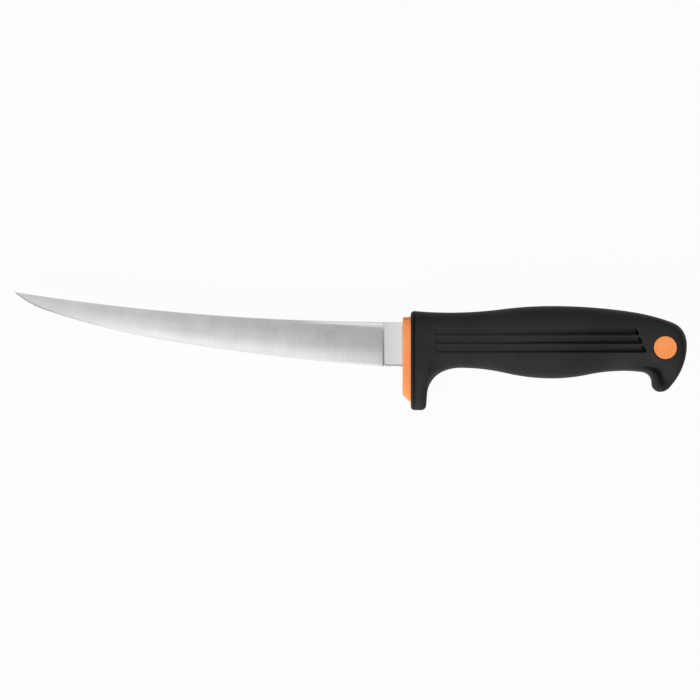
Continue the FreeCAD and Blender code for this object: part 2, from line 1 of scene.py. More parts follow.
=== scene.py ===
# %% [markdown]
# # A fillet knife with a two-material handle
#
# The knife has a long thin blade of ground stainless steel, an orange collar where the blade enters the
# handle, a soft black grip with three grooves on each side, and an orange plug on each side of the butt.
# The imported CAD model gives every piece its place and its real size. It is loaded first and stays fixed, and
# its box is kept so that the finished model can be compared with it at the end.

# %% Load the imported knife
import bmesh
import bpy
import math
import numpy as np
from functools import partial
from itertools import repeat
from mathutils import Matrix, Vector


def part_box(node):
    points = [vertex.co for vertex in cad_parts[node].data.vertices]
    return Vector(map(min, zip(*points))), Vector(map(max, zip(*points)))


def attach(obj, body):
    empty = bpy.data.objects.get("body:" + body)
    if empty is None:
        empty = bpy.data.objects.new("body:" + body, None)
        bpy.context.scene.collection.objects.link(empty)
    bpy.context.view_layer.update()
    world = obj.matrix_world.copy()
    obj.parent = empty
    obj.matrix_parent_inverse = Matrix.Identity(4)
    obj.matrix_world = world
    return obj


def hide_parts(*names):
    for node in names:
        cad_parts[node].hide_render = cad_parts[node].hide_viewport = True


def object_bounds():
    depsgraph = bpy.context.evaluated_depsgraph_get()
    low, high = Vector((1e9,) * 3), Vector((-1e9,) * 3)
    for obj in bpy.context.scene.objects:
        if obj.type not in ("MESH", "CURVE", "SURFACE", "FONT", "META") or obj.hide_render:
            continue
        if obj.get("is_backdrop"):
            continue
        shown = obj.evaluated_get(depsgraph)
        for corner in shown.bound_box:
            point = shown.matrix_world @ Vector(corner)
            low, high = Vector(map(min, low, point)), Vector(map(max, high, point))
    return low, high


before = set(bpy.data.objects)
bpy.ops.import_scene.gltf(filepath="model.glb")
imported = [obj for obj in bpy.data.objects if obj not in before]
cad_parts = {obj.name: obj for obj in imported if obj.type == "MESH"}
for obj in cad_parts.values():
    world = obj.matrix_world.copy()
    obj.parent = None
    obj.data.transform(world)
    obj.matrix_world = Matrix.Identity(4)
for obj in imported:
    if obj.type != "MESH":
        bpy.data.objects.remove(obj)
CAD_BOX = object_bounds()
print("CAD nodes:", ", ".join(sorted(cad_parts)))

# %% [markdown]
# ## The knife's own axes
#
# A maker measures a knife from the place where the blade enters the handle. So every size below is in
# millimetres: along from the collar's front face towards the butt, up from the blade's middle line towards
# the spine, and out from the blade's middle plane. One function turns such points into the frame's metres,
# which keeps the drawing readable and needs no fitting.

# %% Measure from the heel of the blade
MM = 0.001
BLADE_LENGTH = 178.0
BLADE_HEIGHT = 20.3
blade_low, blade_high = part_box("blade")
collar_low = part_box("front_collar")[0]
HEEL = Vector((
    collar_low.x,
    blade_low.y + BLADE_HEIGHT / 2 * MM,
    (blade_low.z + blade_high.z) / 2,
))


def placed(points):
    """Points given in millimetres from the heel, in metres in the shared frame."""
    return np.asarray(points, float) * MM + np.array(HEEL)


print("heel of the blade at", [round(value, 5) for value in HEEL])

# %% [markdown]
# ## Short calls
#
# The floor, the finishes and the blade's rule are all node trees. Small functions keep them short: one adds a
# node and fills or links its inputs, two carry values from range to range or do arithmetic, and one starts a
# group with named sockets. Another puts a new object into the scene.


# %% Helpers for objects and node trees
def linked(name, data):
    """A new object in the scene."""
    thing = bpy.data.objects.new(name, data)
    bpy.context.collection.objects.link(thing)
    return thing


def bare_tree(owner):
    """The empty node tree of a material or of the world."""
    owner.use_nodes = True
    owner.node_tree.nodes.clear()
    return owner.node_tree


def fill(tree, socket, value):
    """Links a socket to another socket, or gives it a plain value."""
    if isinstance(value, bpy.types.NodeSocket):
        tree.links.new(value, socket)
    else:
        socket.default_value = value


def add(tree, kind, inputs=(), **settings):
    """Adds a node, sets its properties, and fills or links its inputs."""
    node = tree.nodes.new(kind)
    for name, value in settings.items():
        setattr(node, name, value)
    for key, value in dict(inputs).items():
        fill(tree, node.inputs[key], value)
    return node


def reckon(tree, operation, *values, clamp=False):
    node = add(tree, "ShaderNodeMath", enumerate(values), operation=operation, use_clamp=clamp)
    return node.outputs[0]


def spread(tree, value, low, high, first=0.0, second=1.0, kind="LINEAR"):
    """A value carried from one range to another."""
    ranges = {0: value, 1: low, 2: high, 3: first, 4: second}
    return add(tree, "ShaderNodeMapRange", ranges, interpolation_type=kind).outputs[0]


def new_group(name, kind, inputs, outputs):
    """A node group, with the sockets that its nodes read from and write to."""
    tree = bpy.data.node_groups.new(name, kind)
    for label, socket, default in inputs:
        made = tree.interface.new_socket(label, in_out="INPUT", socket_type="NodeSocket" + socket)
        if default is not None:
            made.default_value = default
    for label, socket in outputs:
        tree.interface.new_socket(label, in_out="OUTPUT", socket_type="NodeSocket" + socket)
    given = tree.nodes.new("NodeGroupInput").outputs
    wanted = tree.nodes.new("NodeGroupOutput").inputs
    return tree, given, wanted


print("helpers ready")

# %% [markdown]
# ## The camera
#
# The photograph looks straight down on the knife's left side, with no visible perspective. A long lens far
# above the knife gives that view and still works as an ordinary camera when other angles are looked at. The
# blade spans a known number of pixels, which sets the scale, and the rows and columns that its heel falls on
# set the place.

# %% Look straight down on the left side
PHOTO_SIDE = 700
BLADE_PIXELS = 388
COLLAR_COLUMN = 402.5
MIDDLE_ROW = 344.25
CAMERA_HEIGHT = 10000.0
CAMERA_REACH = 100.0
SENSOR = 36.0
pixel = BLADE_LENGTH / BLADE_PIXELS
view_middle = ((PHOTO_SIDE / 2 - COLLAR_COLUMN) * pixel, (MIDDLE_ROW - PHOTO_SIDE / 2) * pixel)

camera_data = bpy.data.cameras.new("photo_camera")
camera_data.sensor_width = SENSOR
camera_data.lens = SENSOR * CAMERA_HEIGHT / (PHOTO_SIDE * pixel)
camera_data.clip_end = CAMERA_REACH
camera = linked("photo_camera", camera_data)
camera.location = placed((*view_middle, CAMERA_HEIGHT))
bpy.context.scene.camera = camera
bpy.context.scene.view_settings.view_transform = "Standard"
print(f"lens {camera_data.lens:.1f} mm, {pixel:.4f} mm to a pixel")

# %% [markdown]
# ## Floor and light
#
# The knife lies on a white table in a white room. The table and the room are plain white to the camera, and
# the table keeps a faint shadow where the knife rests on it. In reflections the room is white overhead and
# darker towards the horizon, as in a studio with a soft ceiling, so the steel looks bright without looking
# flat. A broad lamp stands above the edge side of the blade, towards the tip, because the lower half of the
# handle is the lighter one in the photograph. A weak low lamp beyond the spine draws the pale rim along the
# handle's back. Neither lamp shows in reflections, so the steel mirrors only the room.

# %% White table
WHITE = (1.0, 1.0, 1.0, 1.0)
TABLE_GREY = (0.5, 0.5, 0.5, 1.0)
FLOOR_HALF_SIDE = 3.0
FLOOR_WHITENESS = 0.965
floor_mesh = bpy.data.meshes.new("table")
floor_corners = np.array([(-1, -1, 0), (1, -1, 0), (1, 1, 0), (-1, 1, 0)]) * FLOOR_HALF_SIDE
floor_mesh.from_pydata(floor_corners.tolist(), [], [(0, 1, 2, 3)])
floor = linked("table", floor_mesh)
floor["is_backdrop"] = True

table_white = bpy.data.materials.new("table_white")
tree = bare_tree(table_white)
rays = add(tree, "ShaderNodeLightPath").outputs
shown = reckon(tree, "MAXIMUM", rays["Is Camera Ray"], rays["Is Glossy Ray"])
shown = reckon(tree, "MAXIMUM", shown, rays["Is Transmission Ray"])
whiteness = reckon(tree, "MULTIPLY", shown, FLOOR_WHITENESS)
matt = add(tree, "ShaderNodeBsdfDiffuse", {"Color": TABLE_GREY})
glow = add(tree, "ShaderNodeEmission", {"Color": WHITE, "Strength": 1.0})
mixed = add(tree, "ShaderNodeMixShader", {0: whiteness, 1: matt.outputs[0], 2: glow.outputs[0]})
add(tree, "ShaderNodeOutputMaterial", {"Surface": mixed.outputs[0]})
floor_mesh.materials.append(table_white)
print(f"table: {2 * FLOOR_HALF_SIDE} m wide")

# %% White surroundings
SKY_AT_HORIZON = 0.02
SKY_OVERHEAD = 0.32
MIRRORED_HORIZON = 0.15
MIRRORED_WHITE_FROM = 0.65
world = bpy.data.worlds.new("white_surroundings")
bpy.context.scene.world = world
tree = bare_tree(world)
direction = add(tree, "ShaderNodeTexCoord").outputs["Generated"]
height = add(tree, "ShaderNodeSeparateXYZ", {0: direction}).outputs["Z"]
rays = add(tree, "ShaderNodeLightPath").outputs
light = spread(tree, height, 0.0, 1.0, SKY_AT_HORIZON, SKY_OVERHEAD)
mirrored = spread(tree, height, 0.0, MIRRORED_WHITE_FROM, MIRRORED_HORIZON, 1.0)
level = spread(tree, rays["Is Glossy Ray"], 0.0, 1.0, light, mirrored)
seen = reckon(tree, "MAXIMUM", rays["Is Camera Ray"], rays["Is Transmission Ray"])
brightness = spread(tree, seen, 0.0, 1.0, level, 1.0)
sky = add(tree, "ShaderNodeBackground", {"Color": WHITE, "Strength": brightness})
add(tree, "ShaderNodeOutputWorld", {"Surface": sky.outputs[0]})
print("surroundings:", world.name)

# %% Soft lamps
LAMPS = {
    "edge_side_lamp": {"spot": (-0.8, -1.42, 1.45), "side": 1.2, "power": 58.0},
    "back_lamp": {"spot": (0.1, 2.0, 0.3), "side": 0.6, "power": 11.0},
}


def soft_lamp(name, spot, side, power):
    """A square lamp that points at the knife and stays out of reflections."""
    lamp_data = bpy.data.lights.new(name, "AREA")
    lamp_data.shape = "SQUARE"
    lamp_data.size = side
    lamp_data.energy = power
    lamp = linked(name, lamp_data)
    lamp.visible_glossy = False
    lamp.location = spot
    lamp.rotation_euler = (-Vector(spot)).to_track_quat("-Z", "Y").to_euler()
    print(f"{name}: {power} W over {side} m")


for name, values in LAMPS.items():
    soft_lamp(name, **values)

# %% [markdown]
# ## Effects that several finishes share
#
# Three effects turn up in more than one material, so each is a group with its own sizes as inputs. Grinding
# lines are a noise drawn out along one direction, as an abrasive belt leaves them. Moulded grain is the fine
# texture that a mould passes on to plastic and rubber, with a slow change of tone over it. Handling marks are
# sparse hairlines from use. All of them read Object coordinates, so they stay put on the piece.


# %% Helpers for effects
def object_spots(tree):
    return add(tree, "ShaderNodeTexCoord").outputs["Object"]


def drawn_out(tree, turn, shape):
    """Object coordinates that are turned, and then scaled by a different amount in each direction."""
    turned = add(tree, "ShaderNodeMapping", {"Vector": object_spots(tree), "Rotation": turn})
    scaled = add(tree, "ShaderNodeVectorMath", {0: turned.outputs[0], 1: shape}, operation="MULTIPLY")
    return scaled.outputs[0]


def noise(tree, spots, size, detail):
    rate = reckon(tree, "DIVIDE", 1.0, size)
    return add(tree, "ShaderNodeTexNoise", {"Vector": spots, "Scale": rate, "Detail": detail}).outputs["Fac"]


print("effect helpers ready")

# %% Grinding lines, moulded grain and handling marks
PIT_SHARE = 0.5
GRAIN_LEVEL = 0.7
HAIR_SHAPE = (1.0, 55.0, 55.0)
HAIR_LIMIT = 0.78
HAIR_GAIN = 0.1
HAIR_SOFTNESS = 0.04

grinding_lines, given, wanted = new_group(
    "grinding_lines",
    "ShaderNodeTree",
    [("Spacing", "Float", 0.0002), ("Stretch", "Float", 40.0), ("Turn", "Vector", None)],
    [("Lines", "Float")],
)
tree = grinding_lines
squash = reckon(tree, "DIVIDE", 1.0, given["Stretch"])
line_shape = add(tree, "ShaderNodeCombineXYZ", {0: 1.0, 1: squash, 2: squash}).outputs[0]
lines = noise(tree, drawn_out(tree, given["Turn"], line_shape), given["Spacing"], 3.0)
tree.links.new(lines, wanted["Lines"])

moulded_grain, given, wanted = new_group(
    "moulded_grain",
    "ShaderNodeTree",
    [("Grain Size", "Float", 0.0004), ("Tone Size", "Float", 0.015)],
    [("Grain", "Float"), ("Tone", "Float")],
)
tree = moulded_grain
spots = object_spots(tree)
fineness = reckon(tree, "DIVIDE", 1.0, given["Grain Size"])
pits = add(tree, "ShaderNodeTexVoronoi", {"Vector": spots, "Scale": fineness}, feature="SMOOTH_F1")
fuzz = noise(tree, spots, given["Grain Size"], 2.0)
grain = reckon(tree, "MULTIPLY_ADD", pits.outputs["Distance"], PIT_SHARE, fuzz)
tree.links.new(reckon(tree, "MULTIPLY", grain, GRAIN_LEVEL), wanted["Grain"])
tree.links.new(noise(tree, spots, given["Tone Size"], 3.0), wanted["Tone"])

handling_marks, given, wanted = new_group(
    "handling_marks",
    "ShaderNodeTree",
    [("Length", "Float", 0.02), ("Amount", "Float", 0.5), ("Turn", "Vector", None)],
    [("Marks", "Float")],
)
tree = handling_marks
hairs = noise(tree, drawn_out(tree, given["Turn"], HAIR_SHAPE), given["Length"], 1.0)
limit = reckon(tree, "SUBTRACT", HAIR_LIMIT, reckon(tree, "MULTIPLY", given["Amount"], HAIR_GAIN))
marks = spread(tree, hairs, limit, reckon(tree, "ADD", limit, HAIR_SOFTNESS), kind="SMOOTHSTEP")
tree.links.new(marks, wanted["Marks"])
print("shared effects:", grinding_lines.name, moulded_grain.name, handling_marks.name)

# %% [markdown]
# ## Finishes
#
# Each finish is a Principled shader whose colour, roughness and bump come from those groups. The moulded
# finishes differ only in their values, so one function makes them from a table.


# %% Start of a finish
def screen_colour(red, green, blue):
    """A colour as a screen shows it, from 0 to 255, in the linear values that a shader takes."""
    shares = [channel / 255 for channel in (red, green, blue)]
    linear = [s / 12.92 if s <= 0.04045 else ((s + 0.055) / 1.055) ** 2.4 for s in shares]
    return (*linear, 1.0)


def new_finish(name, **sockets):
    """A material with a Principled shader, its plain values set on the shader's own sockets."""
    finish = bpy.data.materials.new(name)
    tree = bare_tree(finish)
    shader = add(tree, "ShaderNodeBsdfPrincipled")
    for label, value in sockets.items():
        shader.inputs[label.replace("_", " ")].default_value = value
    add(tree, "ShaderNodeOutputMaterial", {"Surface": shader.outputs[0]})
    return finish, tree, shader


def place_group(tree, group, **values):
    node = tree.nodes.new("ShaderNodeGroup")
    node.node_tree = group
    for label, value in values.items():
        node.inputs[label.replace("_", " ")].default_value = value
    return node.outputs


def blend(tree, share, first, second):
    """A colour between two colours."""
    node = add(tree, "ShaderNodeMix", {"Factor": share}, data_type="RGBA")
    colours = [socket for socket in node.inputs if socket.type == "RGBA"]
    for socket, value in zip(colours, (first, second)):
        fill(tree, socket, value)
    return next(socket for socket in node.outputs if socket.type == "RGBA")


def dress(tree, shader, colour, roughness, height, bump):
    """Gives a shader its colour, its roughness, and the bump of a height as a strength and a distance."""
    sizes = {"Height": height, "Strength": bump[0], "Distance": bump[1]}
    raised = add(tree, "ShaderNodeBump", sizes).outputs[0]
    for label, socket in (("Base Color", colour), ("Roughness", roughness), ("Normal", raised)):
        tree.links.new(socket, shader.inputs[label])


print("finish helpers ready")

# %% Black rubber of the grip, orange plastic of the collar and plugs, grey plastic of the core
GRAIN_RANGE = (0.2, 0.8)
WEAR = {"Length": 0.006, "Amount": 0.4, "Turn": (0.0, 0.0, 0.9)}
WEAR_SHARE = 0.25
MOULDED = {
    "grip_rubber": {
        "shine": 0.08,
        "sizes": {"Grain_Size": 0.00045, "Tone_Size": 0.02},
        "tones": (0.35, 0.65),
        "colours": ((41, 41, 42), (47, 47, 48)),
        "roughness": (0.5, 0.62),
        "bump": (0.25, 0.00008),
    },
    "orange_plastic": {
        "shine": 0.4,
        "sizes": {"Grain_Size": 0.0003, "Tone_Size": 0.006},
        "tones": (0.3, 0.7),
        "colours": ((243, 146, 84), (252, 157, 92)),
        "roughness": (0.34, 0.46),
        "bump": (0.15, 0.00004),
        "worn_colour": (255, 190, 140),
    },
    "core_plastic": {
        "shine": 0.4,
        "sizes": {"Grain_Size": 0.0005, "Tone_Size": 0.01},
        "tones": (0.3, 0.7),
        "colours": ((58, 60, 62), (70, 72, 74)),
        "roughness": (0.5, 0.62),
        "bump": (0.15, 0.00005),
    },
}


def moulded_finish(name, shine, sizes, tones, colours, roughness, bump, worn_colour=None):
    """Plastic or rubber with the mould's grain, and with hairlines if it shows wear."""
    finish, tree, shader = new_finish(name, Specular_IOR_Level=shine)
    grain = place_group(tree, moulded_grain, **sizes)
    tone = spread(tree, grain["Tone"], *tones)
    colour = blend(tree, tone, *(screen_colour(*ends) for ends in colours))
    if worn_colour:
        marks = place_group(tree, handling_marks, **WEAR)
        worn = reckon(tree, "MULTIPLY", marks["Marks"], WEAR_SHARE)
        colour = blend(tree, worn, colour, screen_colour(*worn_colour))
    rough = spread(tree, grain["Grain"], *GRAIN_RANGE, *roughness)
    dress(tree, shader, colour, rough, grain["Grain"], bump)
    return finish


finishes = {name: moulded_finish(name, **values) for name, values in MOULDED.items()}
print("finishes:", *finishes)

# %% Drawn steel of the pins
PIN_LINES = {"Spacing": 0.00015, "Stretch": 30.0, "Turn": (0.0, math.pi / 2, 0.0)}
PIN_COLOURS = (screen_colour(165, 167, 170), screen_colour(205, 206, 208))
PIN_LINE_RANGE = (0.3, 0.7)
PIN_ROUGHNESS = (0.28, 0.42)
PIN_BUMP = (0.1, 0.00003)
finishes["pin_steel"], tree, shader = new_finish("pin_steel", Metallic=1.0)
lines = place_group(tree, grinding_lines, **PIN_LINES)["Lines"]
rough = spread(tree, lines, *PIN_LINE_RANGE, *PIN_ROUGHNESS)
dress(tree, shader, blend(tree, lines, *PIN_COLOURS), rough, lines, PIN_BUMP)
print("finish: pin_steel")

# %% [markdown]
# The blade's steel also reads how far a point lies from the edge, which the blade's own mesh carries: the
# ground sides are brighter towards the edge, while the flat in front of the handle is not ground at all.
# Tones that change along the blade are tied to a few places along the frame's X axis.

# %% Ground steel: greys, places and values that the mesh carries
GREYS = {
    "dark": 150,
    "light": 245,
    "bevel": 242,
    "bevel at the tip": 178,
    "flat": 207,
    # painted light: the flat is lighter next to the collar
    "flat at the collar": 221,
    # painted shade, for the foot of the ramp and the lower edge of the flat
    "rough": 80,
    "hairline": 246,
}
RICASSO_X = 0.0155
STRIP_END_X = 0.0135
HEEL_X = 0.003
MIDDLE_STRIP_X = -0.01
MIDDLE_X = -0.02
STRIP_X = -0.03
STREAK_X = -0.085
BELLY_X = -0.11
TIP_X = -0.145
BELT_LINES = {"Spacing": 0.00022, "Stretch": 40.0, "Turn": (0.0, 0.0, 0.0)}
CLOUDS = {"Grain_Size": 0.0012, "Tone_Size": 0.012}
HAIRLINES = {"Length": 0.018, "Amount": 0.35, "Turn": (0.0, 0.0, 0.6)}
steel_greys = {label: screen_colour(grey, grey, grey) for label, grey in GREYS.items()}
finishes["blade_steel"], tree, shader = new_finish("blade_steel", Metallic=1.0)


def carried(label):
    return add(tree, "ShaderNodeAttribute", attribute_name=label).outputs["Fac"]


def product(first, second):
    return reckon(tree, "MULTIPLY", first, second)


labels = ("ground_share", "from_edge", "height_share", "ramp_share")
ground, from_edge, height_share, ramp = (carried(label) for label in labels)
along = add(tree, "ShaderNodeSeparateXYZ", {0: object_spots(tree)}).outputs["X"]
lines = place_group(tree, grinding_lines, **BELT_LINES)["Lines"]
clouds = place_group(tree, moulded_grain, **CLOUDS)["Tone"]
hairlines = place_group(tree, handling_marks, **HAIRLINES)["Marks"]
print("the steel reads", ", ".join(labels))

# %% Ground steel: tone of the ground sides
EDGE_BRIGHT_ZONE = (0.5, 0.06)
EDGE_BRIGHTENING_FROM_TIP = (0.03, 0.48)
EDGE_BRIGHTENING_AT_HEEL = 0.65
MIDDLE_ZONE = (0.8, 0.45)
MIDDLE_TONE = 0.17
MIDDLE_TONE_AT_TIP = 0.05
TONE_TO_BELLY = (0.25, 0.5)
CLOUD_RANGE = (0.3, 0.7)
CLOUD_TONES = (-0.07, 0.07)
LINE_RANGE = (0.35, 0.7)
NEARNESS_RANGE = (0.1, 1.0)
LINE_TONES = (-0.02, -0.1)
# The ground sides get brighter towards the edge, less so near the tip and the heel.
nearness = spread(tree, height_share, *EDGE_BRIGHT_ZONE, kind="SMOOTHSTEP")
edge_brightening = product(nearness, spread(tree, along, TIP_X, STREAK_X, *EDGE_BRIGHTENING_FROM_TIP))
edge_brightening = product(edge_brightening, spread(tree, along, HEEL_X, STRIP_END_X, 1.0, EDGE_BRIGHTENING_AT_HEEL))
from_heel = spread(tree, along, HEEL_X, MIDDLE_X, 0.0, MIDDLE_TONE)
from_tip = spread(tree, along, TIP_X, BELLY_X, MIDDLE_TONE_AT_TIP, MIDDLE_TONE)
in_middle = spread(tree, height_share, *MIDDLE_ZONE, kind="SMOOTHSTEP")
middle = product(in_middle, reckon(tree, "MINIMUM", from_heel, from_tip))
streak = product(spread(tree, lines, *LINE_RANGE), spread(tree, nearness, *NEARNESS_RANGE, *LINE_TONES))
tone = reckon(tree, "ADD", edge_brightening, spread(tree, along, MIDDLE_X, BELLY_X, *TONE_TO_BELLY))
tone = reckon(tree, "ADD", tone, middle)
tone = reckon(tree, "ADD", tone, spread(tree, clouds, *CLOUD_RANGE, *CLOUD_TONES))
tone = reckon(tree, "ADD", tone, streak, clamp=True)
colour = blend(tree, tone, steel_greys["dark"], steel_greys["light"])
print("tones of the ground sides from", GREYS["dark"], "to", GREYS["light"])

# %% Ground steel: bevel, flat with painted light and shade, strip under the spine, and painted shade at the ramp
BEVEL_FADE = (0.0008, 0.0006)
EDGE_SHADE_FADE = (0.0005, 0.001)
STRIP_ZONE = (0.9, 0.95)
STRIP_SHARE = 0.45
LOW_ZONE = (0.95, 0.2)
LEAST_LOWNESS = 0.15
RAMP_SHADES = (((0.5, 1.0), 0.1), ((0.76, 0.92), 0.7))
HAIRLINE_SHARE = 0.15
to_belly = spread(tree, along, TIP_X, BELLY_X)
bevel = blend(tree, to_belly, steel_greys["bevel at the tip"], steel_greys["bevel"])
colour = blend(tree, spread(tree, from_edge, *BEVEL_FADE), colour, bevel)
# Painted light: the flat gets lighter towards the collar, standing in for light that the collar keeps off it.
painted_light_to_collar = spread(tree, along, RICASSO_X, HEEL.x)
flat = blend(tree, painted_light_to_collar, steel_greys["flat"], steel_greys["flat at the collar"])
# Painted shade: a dark line along the flat's rounded lower edge, in the grey called rough.
flat = blend(tree, spread(tree, from_edge, *EDGE_SHADE_FADE, 1.0, 0.0), flat, steel_greys["rough"])
colour = blend(tree, ground, flat, colour)
strip = spread(tree, along, STRIP_X, MIDDLE_STRIP_X, 0.0, STRIP_SHARE)
strip = product(strip, spread(tree, along, STRIP_END_X, RICASSO_X, 1.0, 0.0))
strip = product(spread(tree, height_share, *STRIP_ZONE, kind="SMOOTHSTEP"), strip)
colour = blend(tree, strip, colour, steel_greys["light"])
# Painted shade at the foot of the ramp: a broad faint shade and a dark line in the grey called rough,
# strongest towards the edge.
lowness = spread(tree, height_share, *LOW_ZONE, LEAST_LOWNESS, 1.0)
for zone, most in RAMP_SHADES:
    shade = product(spread(tree, ramp, *zone, kind="SMOOTHSTEP"), product(lowness, most))
    colour = blend(tree, shade, colour, steel_greys["rough"])
colour = blend(tree, product(hairlines, HAIRLINE_SHARE), colour, steel_greys["hairline"])
print("bevel", GREYS["bevel"], "and flat", GREYS["flat"])

# %% Ground steel: roughness and fine lines
ROUGHNESS_RANGE = (0.25, 0.75)
GROUND_ROUGHNESS = (0.26, 0.34)
FLAT_ROUGHNESS = 0.16
LINE_BUMP = (0.08, 0.00002)
rough = spread(tree, lines, *ROUGHNESS_RANGE, *GROUND_ROUGHNESS)
rough = spread(tree, ground, 0.0, 1.0, FLAT_ROUGHNESS, rough)
dress(tree, shader, colour, rough, lines, LINE_BUMP)
print("finish: blade_steel")

# %% [markdown]
# ## Outlines made of arcs
#
# The outline of a knife is a run of long curves, each carrying straight on from the one before. So an outline
# is given by the few points where one curve becomes the next and by the direction at its start, and an arc
# is drawn from each point to the next.


# %% Helpers for outlines
ARC_STEPS = 400
LEVEL = 0.0


def arc(start, stop, half_turn):
    """Points of an arc that turns left by twice the half turn on its way."""
    chord = np.subtract(stop, start)
    share = np.linspace(0, 1, ARC_STEPS)
    if abs(half_turn) < 1e-6:
        return start + share[:, None] * chord
    reach = np.sin(half_turn * share) / math.sin(half_turn)
    turn = half_turn * (share - 1)
    ahead = reach * np.cos(turn)
    aside = reach * np.sin(turn)
    left = np.array((-chord[1], chord[0]))
    return start + ahead[:, None] * chord + aside[:, None] * left


def chain(points, heading):
    """A line of arcs through points, starting in the direction of a heading."""
    line = [np.array([points[0]], float)]
    for start, stop in zip(points, points[1:]):
        direction = math.atan2(stop[1] - start[1], stop[0] - start[0])
        half_turn = (direction - heading + math.pi) % (2 * math.pi) - math.pi
        line.append(arc(start, stop, half_turn)[1:])
        heading = direction + half_turn
    return np.concatenate(line)


def bowed_heading(start, stop, radius):
    """The direction in which an arc of this radius starts, turning left where the radius is positive."""
    chord = np.subtract(stop, start)
    return math.atan2(chord[1], chord[0]) - math.asin(np.hypot(*chord) / 2 / radius)


def shares_of(line):
    """The share of a line's length that lies before each of its points."""
    steps = np.hypot(*np.diff(line, axis=0).T)
    length = np.concatenate(([0], np.cumsum(steps)))
    return length / length[-1]


def along_line(line, shares):
    """Points of a line at shares of its length."""
    given = shares_of(line)
    return np.column_stack([np.interp(shares, given, line[:, axis]) for axis in (0, 1)])


def eased(first, last, share):
    return first + (last - first) * share * share * (3 - 2 * share)


print("outline helpers ready")

# %% [markdown]
# ## The blade
#
# A fillet blade starts as a sheet of steel. A belt grinds both sides down to a thin wedge, which stops short
# of the spine and, at the heel, ends in a curved ramp in front of the unground flat. A narrow bevel makes the
# edge. All of this follows one rule: the thickness depends only on the distance from the edge and on the
# place along the blade. So Geometry Nodes make the blade from two lines, the edge and the spine, with the
# sizes of the grind as inputs. The tang is hidden in the handle and is taken from the CAD node.

# %% Edge and spine
RICASSO = 8.3
TIP = (-BLADE_LENGTH, 23.9)
EDGE_HEEL = (-RICASSO, -BLADE_HEIGHT / 2)
EDGE_BELLY = (-0.61 * BLADE_LENGTH, 1.87)
EDGE_SWEEP = (-0.92 * BLADE_LENGTH, 15.7)
SPINE_HEEL = (-RICASSO, BLADE_HEIGHT / 2)
EDGE_HEEL_RADIUS = -1078.0
SPINE_RADIUS = 1126.0
NOTCH_RADIUS = 0.45
BLADE_END = 2.0
TIP_ZONE = 20.0
TIP_STATIONS = 50
TIP_CROWDING = 1.8
RAMP_ZONE = 15.0
NOTCH_ZONE = 0.6
STRETCHES = (
    (-BLADE_LENGTH + TIP_ZONE, -RAMP_ZONE, 120),
    (-RAMP_ZONE, -RICASSO - NOTCH_ZONE, 60),
    (-RICASSO - NOTCH_ZONE, -RICASSO + NOTCH_ZONE, 41),
    (-RICASSO + NOTCH_ZONE, BLADE_END, 24),
)

edge_heading = bowed_heading(EDGE_HEEL, EDGE_BELLY, EDGE_HEEL_RADIUS)
edge_curve = chain([EDGE_HEEL, EDGE_BELLY, EDGE_SWEEP, TIP], edge_heading)
spine_curve = chain([TIP, SPINE_HEEL], bowed_heading(TIP, SPINE_HEEL, SPINE_RADIUS))
tip_stretch = -BLADE_LENGTH + TIP_ZONE * np.linspace(0, 1, TIP_STATIONS) ** TIP_CROWDING
stations = np.concatenate((tip_stretch, *(np.linspace(*stretch)[1:] for stretch in STRETCHES)))
notch = np.sqrt(np.clip(NOTCH_RADIUS**2 - (stations + RICASSO) ** 2, 0, None))
edge_up = np.interp(stations, *edge_curve[::-1].T) + notch
spine_up = np.interp(stations, *spine_curve.T)


def line_object(name, up):
    points = np.column_stack((stations, up, np.zeros_like(stations)))
    mesh = bpy.data.meshes.new(name)
    mesh.from_pydata(placed(points).tolist(), [(n, n + 1) for n in range(len(points) - 1)], [])
    return linked(name, mesh)


edge_object = line_object("edge_line", edge_up)
spine_object = line_object("spine_line", spine_up)
print(f"{len(stations)} stations from the tip to the slot in the collar")

# %% Tang from the CAD node
SAME_SPOT = 1e-6
tang_mesh = bpy.data.meshes.new("tang")
shape = bmesh.new()
shape.from_mesh(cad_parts["blade"].data)
bmesh.ops.remove_doubles(shape, verts=shape.verts, dist=SAME_SPOT)
bmesh.ops.bisect_plane(
    shape,
    geom=[*shape.verts, *shape.edges, *shape.faces],
    plane_co=placed((BLADE_END, 0, 0)),
    plane_no=(1, 0, 0),
    clear_inner=True,
)
bmesh.ops.holes_fill(shape, edges=[edge for edge in shape.edges if edge.is_boundary])
shape.to_mesh(tang_mesh)
shape.free()
tang_object = linked("tang", tang_mesh)
print(f"tang: {len(tang_mesh.polygons)} faces")

# %% Rule for the thickness of the ground steel
GRIND_SIZES = {
    "Half Steel": 0.9,
    "Half Edge": 0.25,
    "Bevel Width": 0.8,
    "Grind Height": 18.0,
    "Ramp Start": -RICASSO - 5.0,
    "Ramp Length": 5.0,
    "Flat Rounding": 0.5,
}
RAMP_CURVE = 3.0
RAMP_END_SHARE = 0.999
GROUND_FADE = 0.00002
grind_sockets = [(label, "Float", 0.0) for label in GRIND_SIZES]


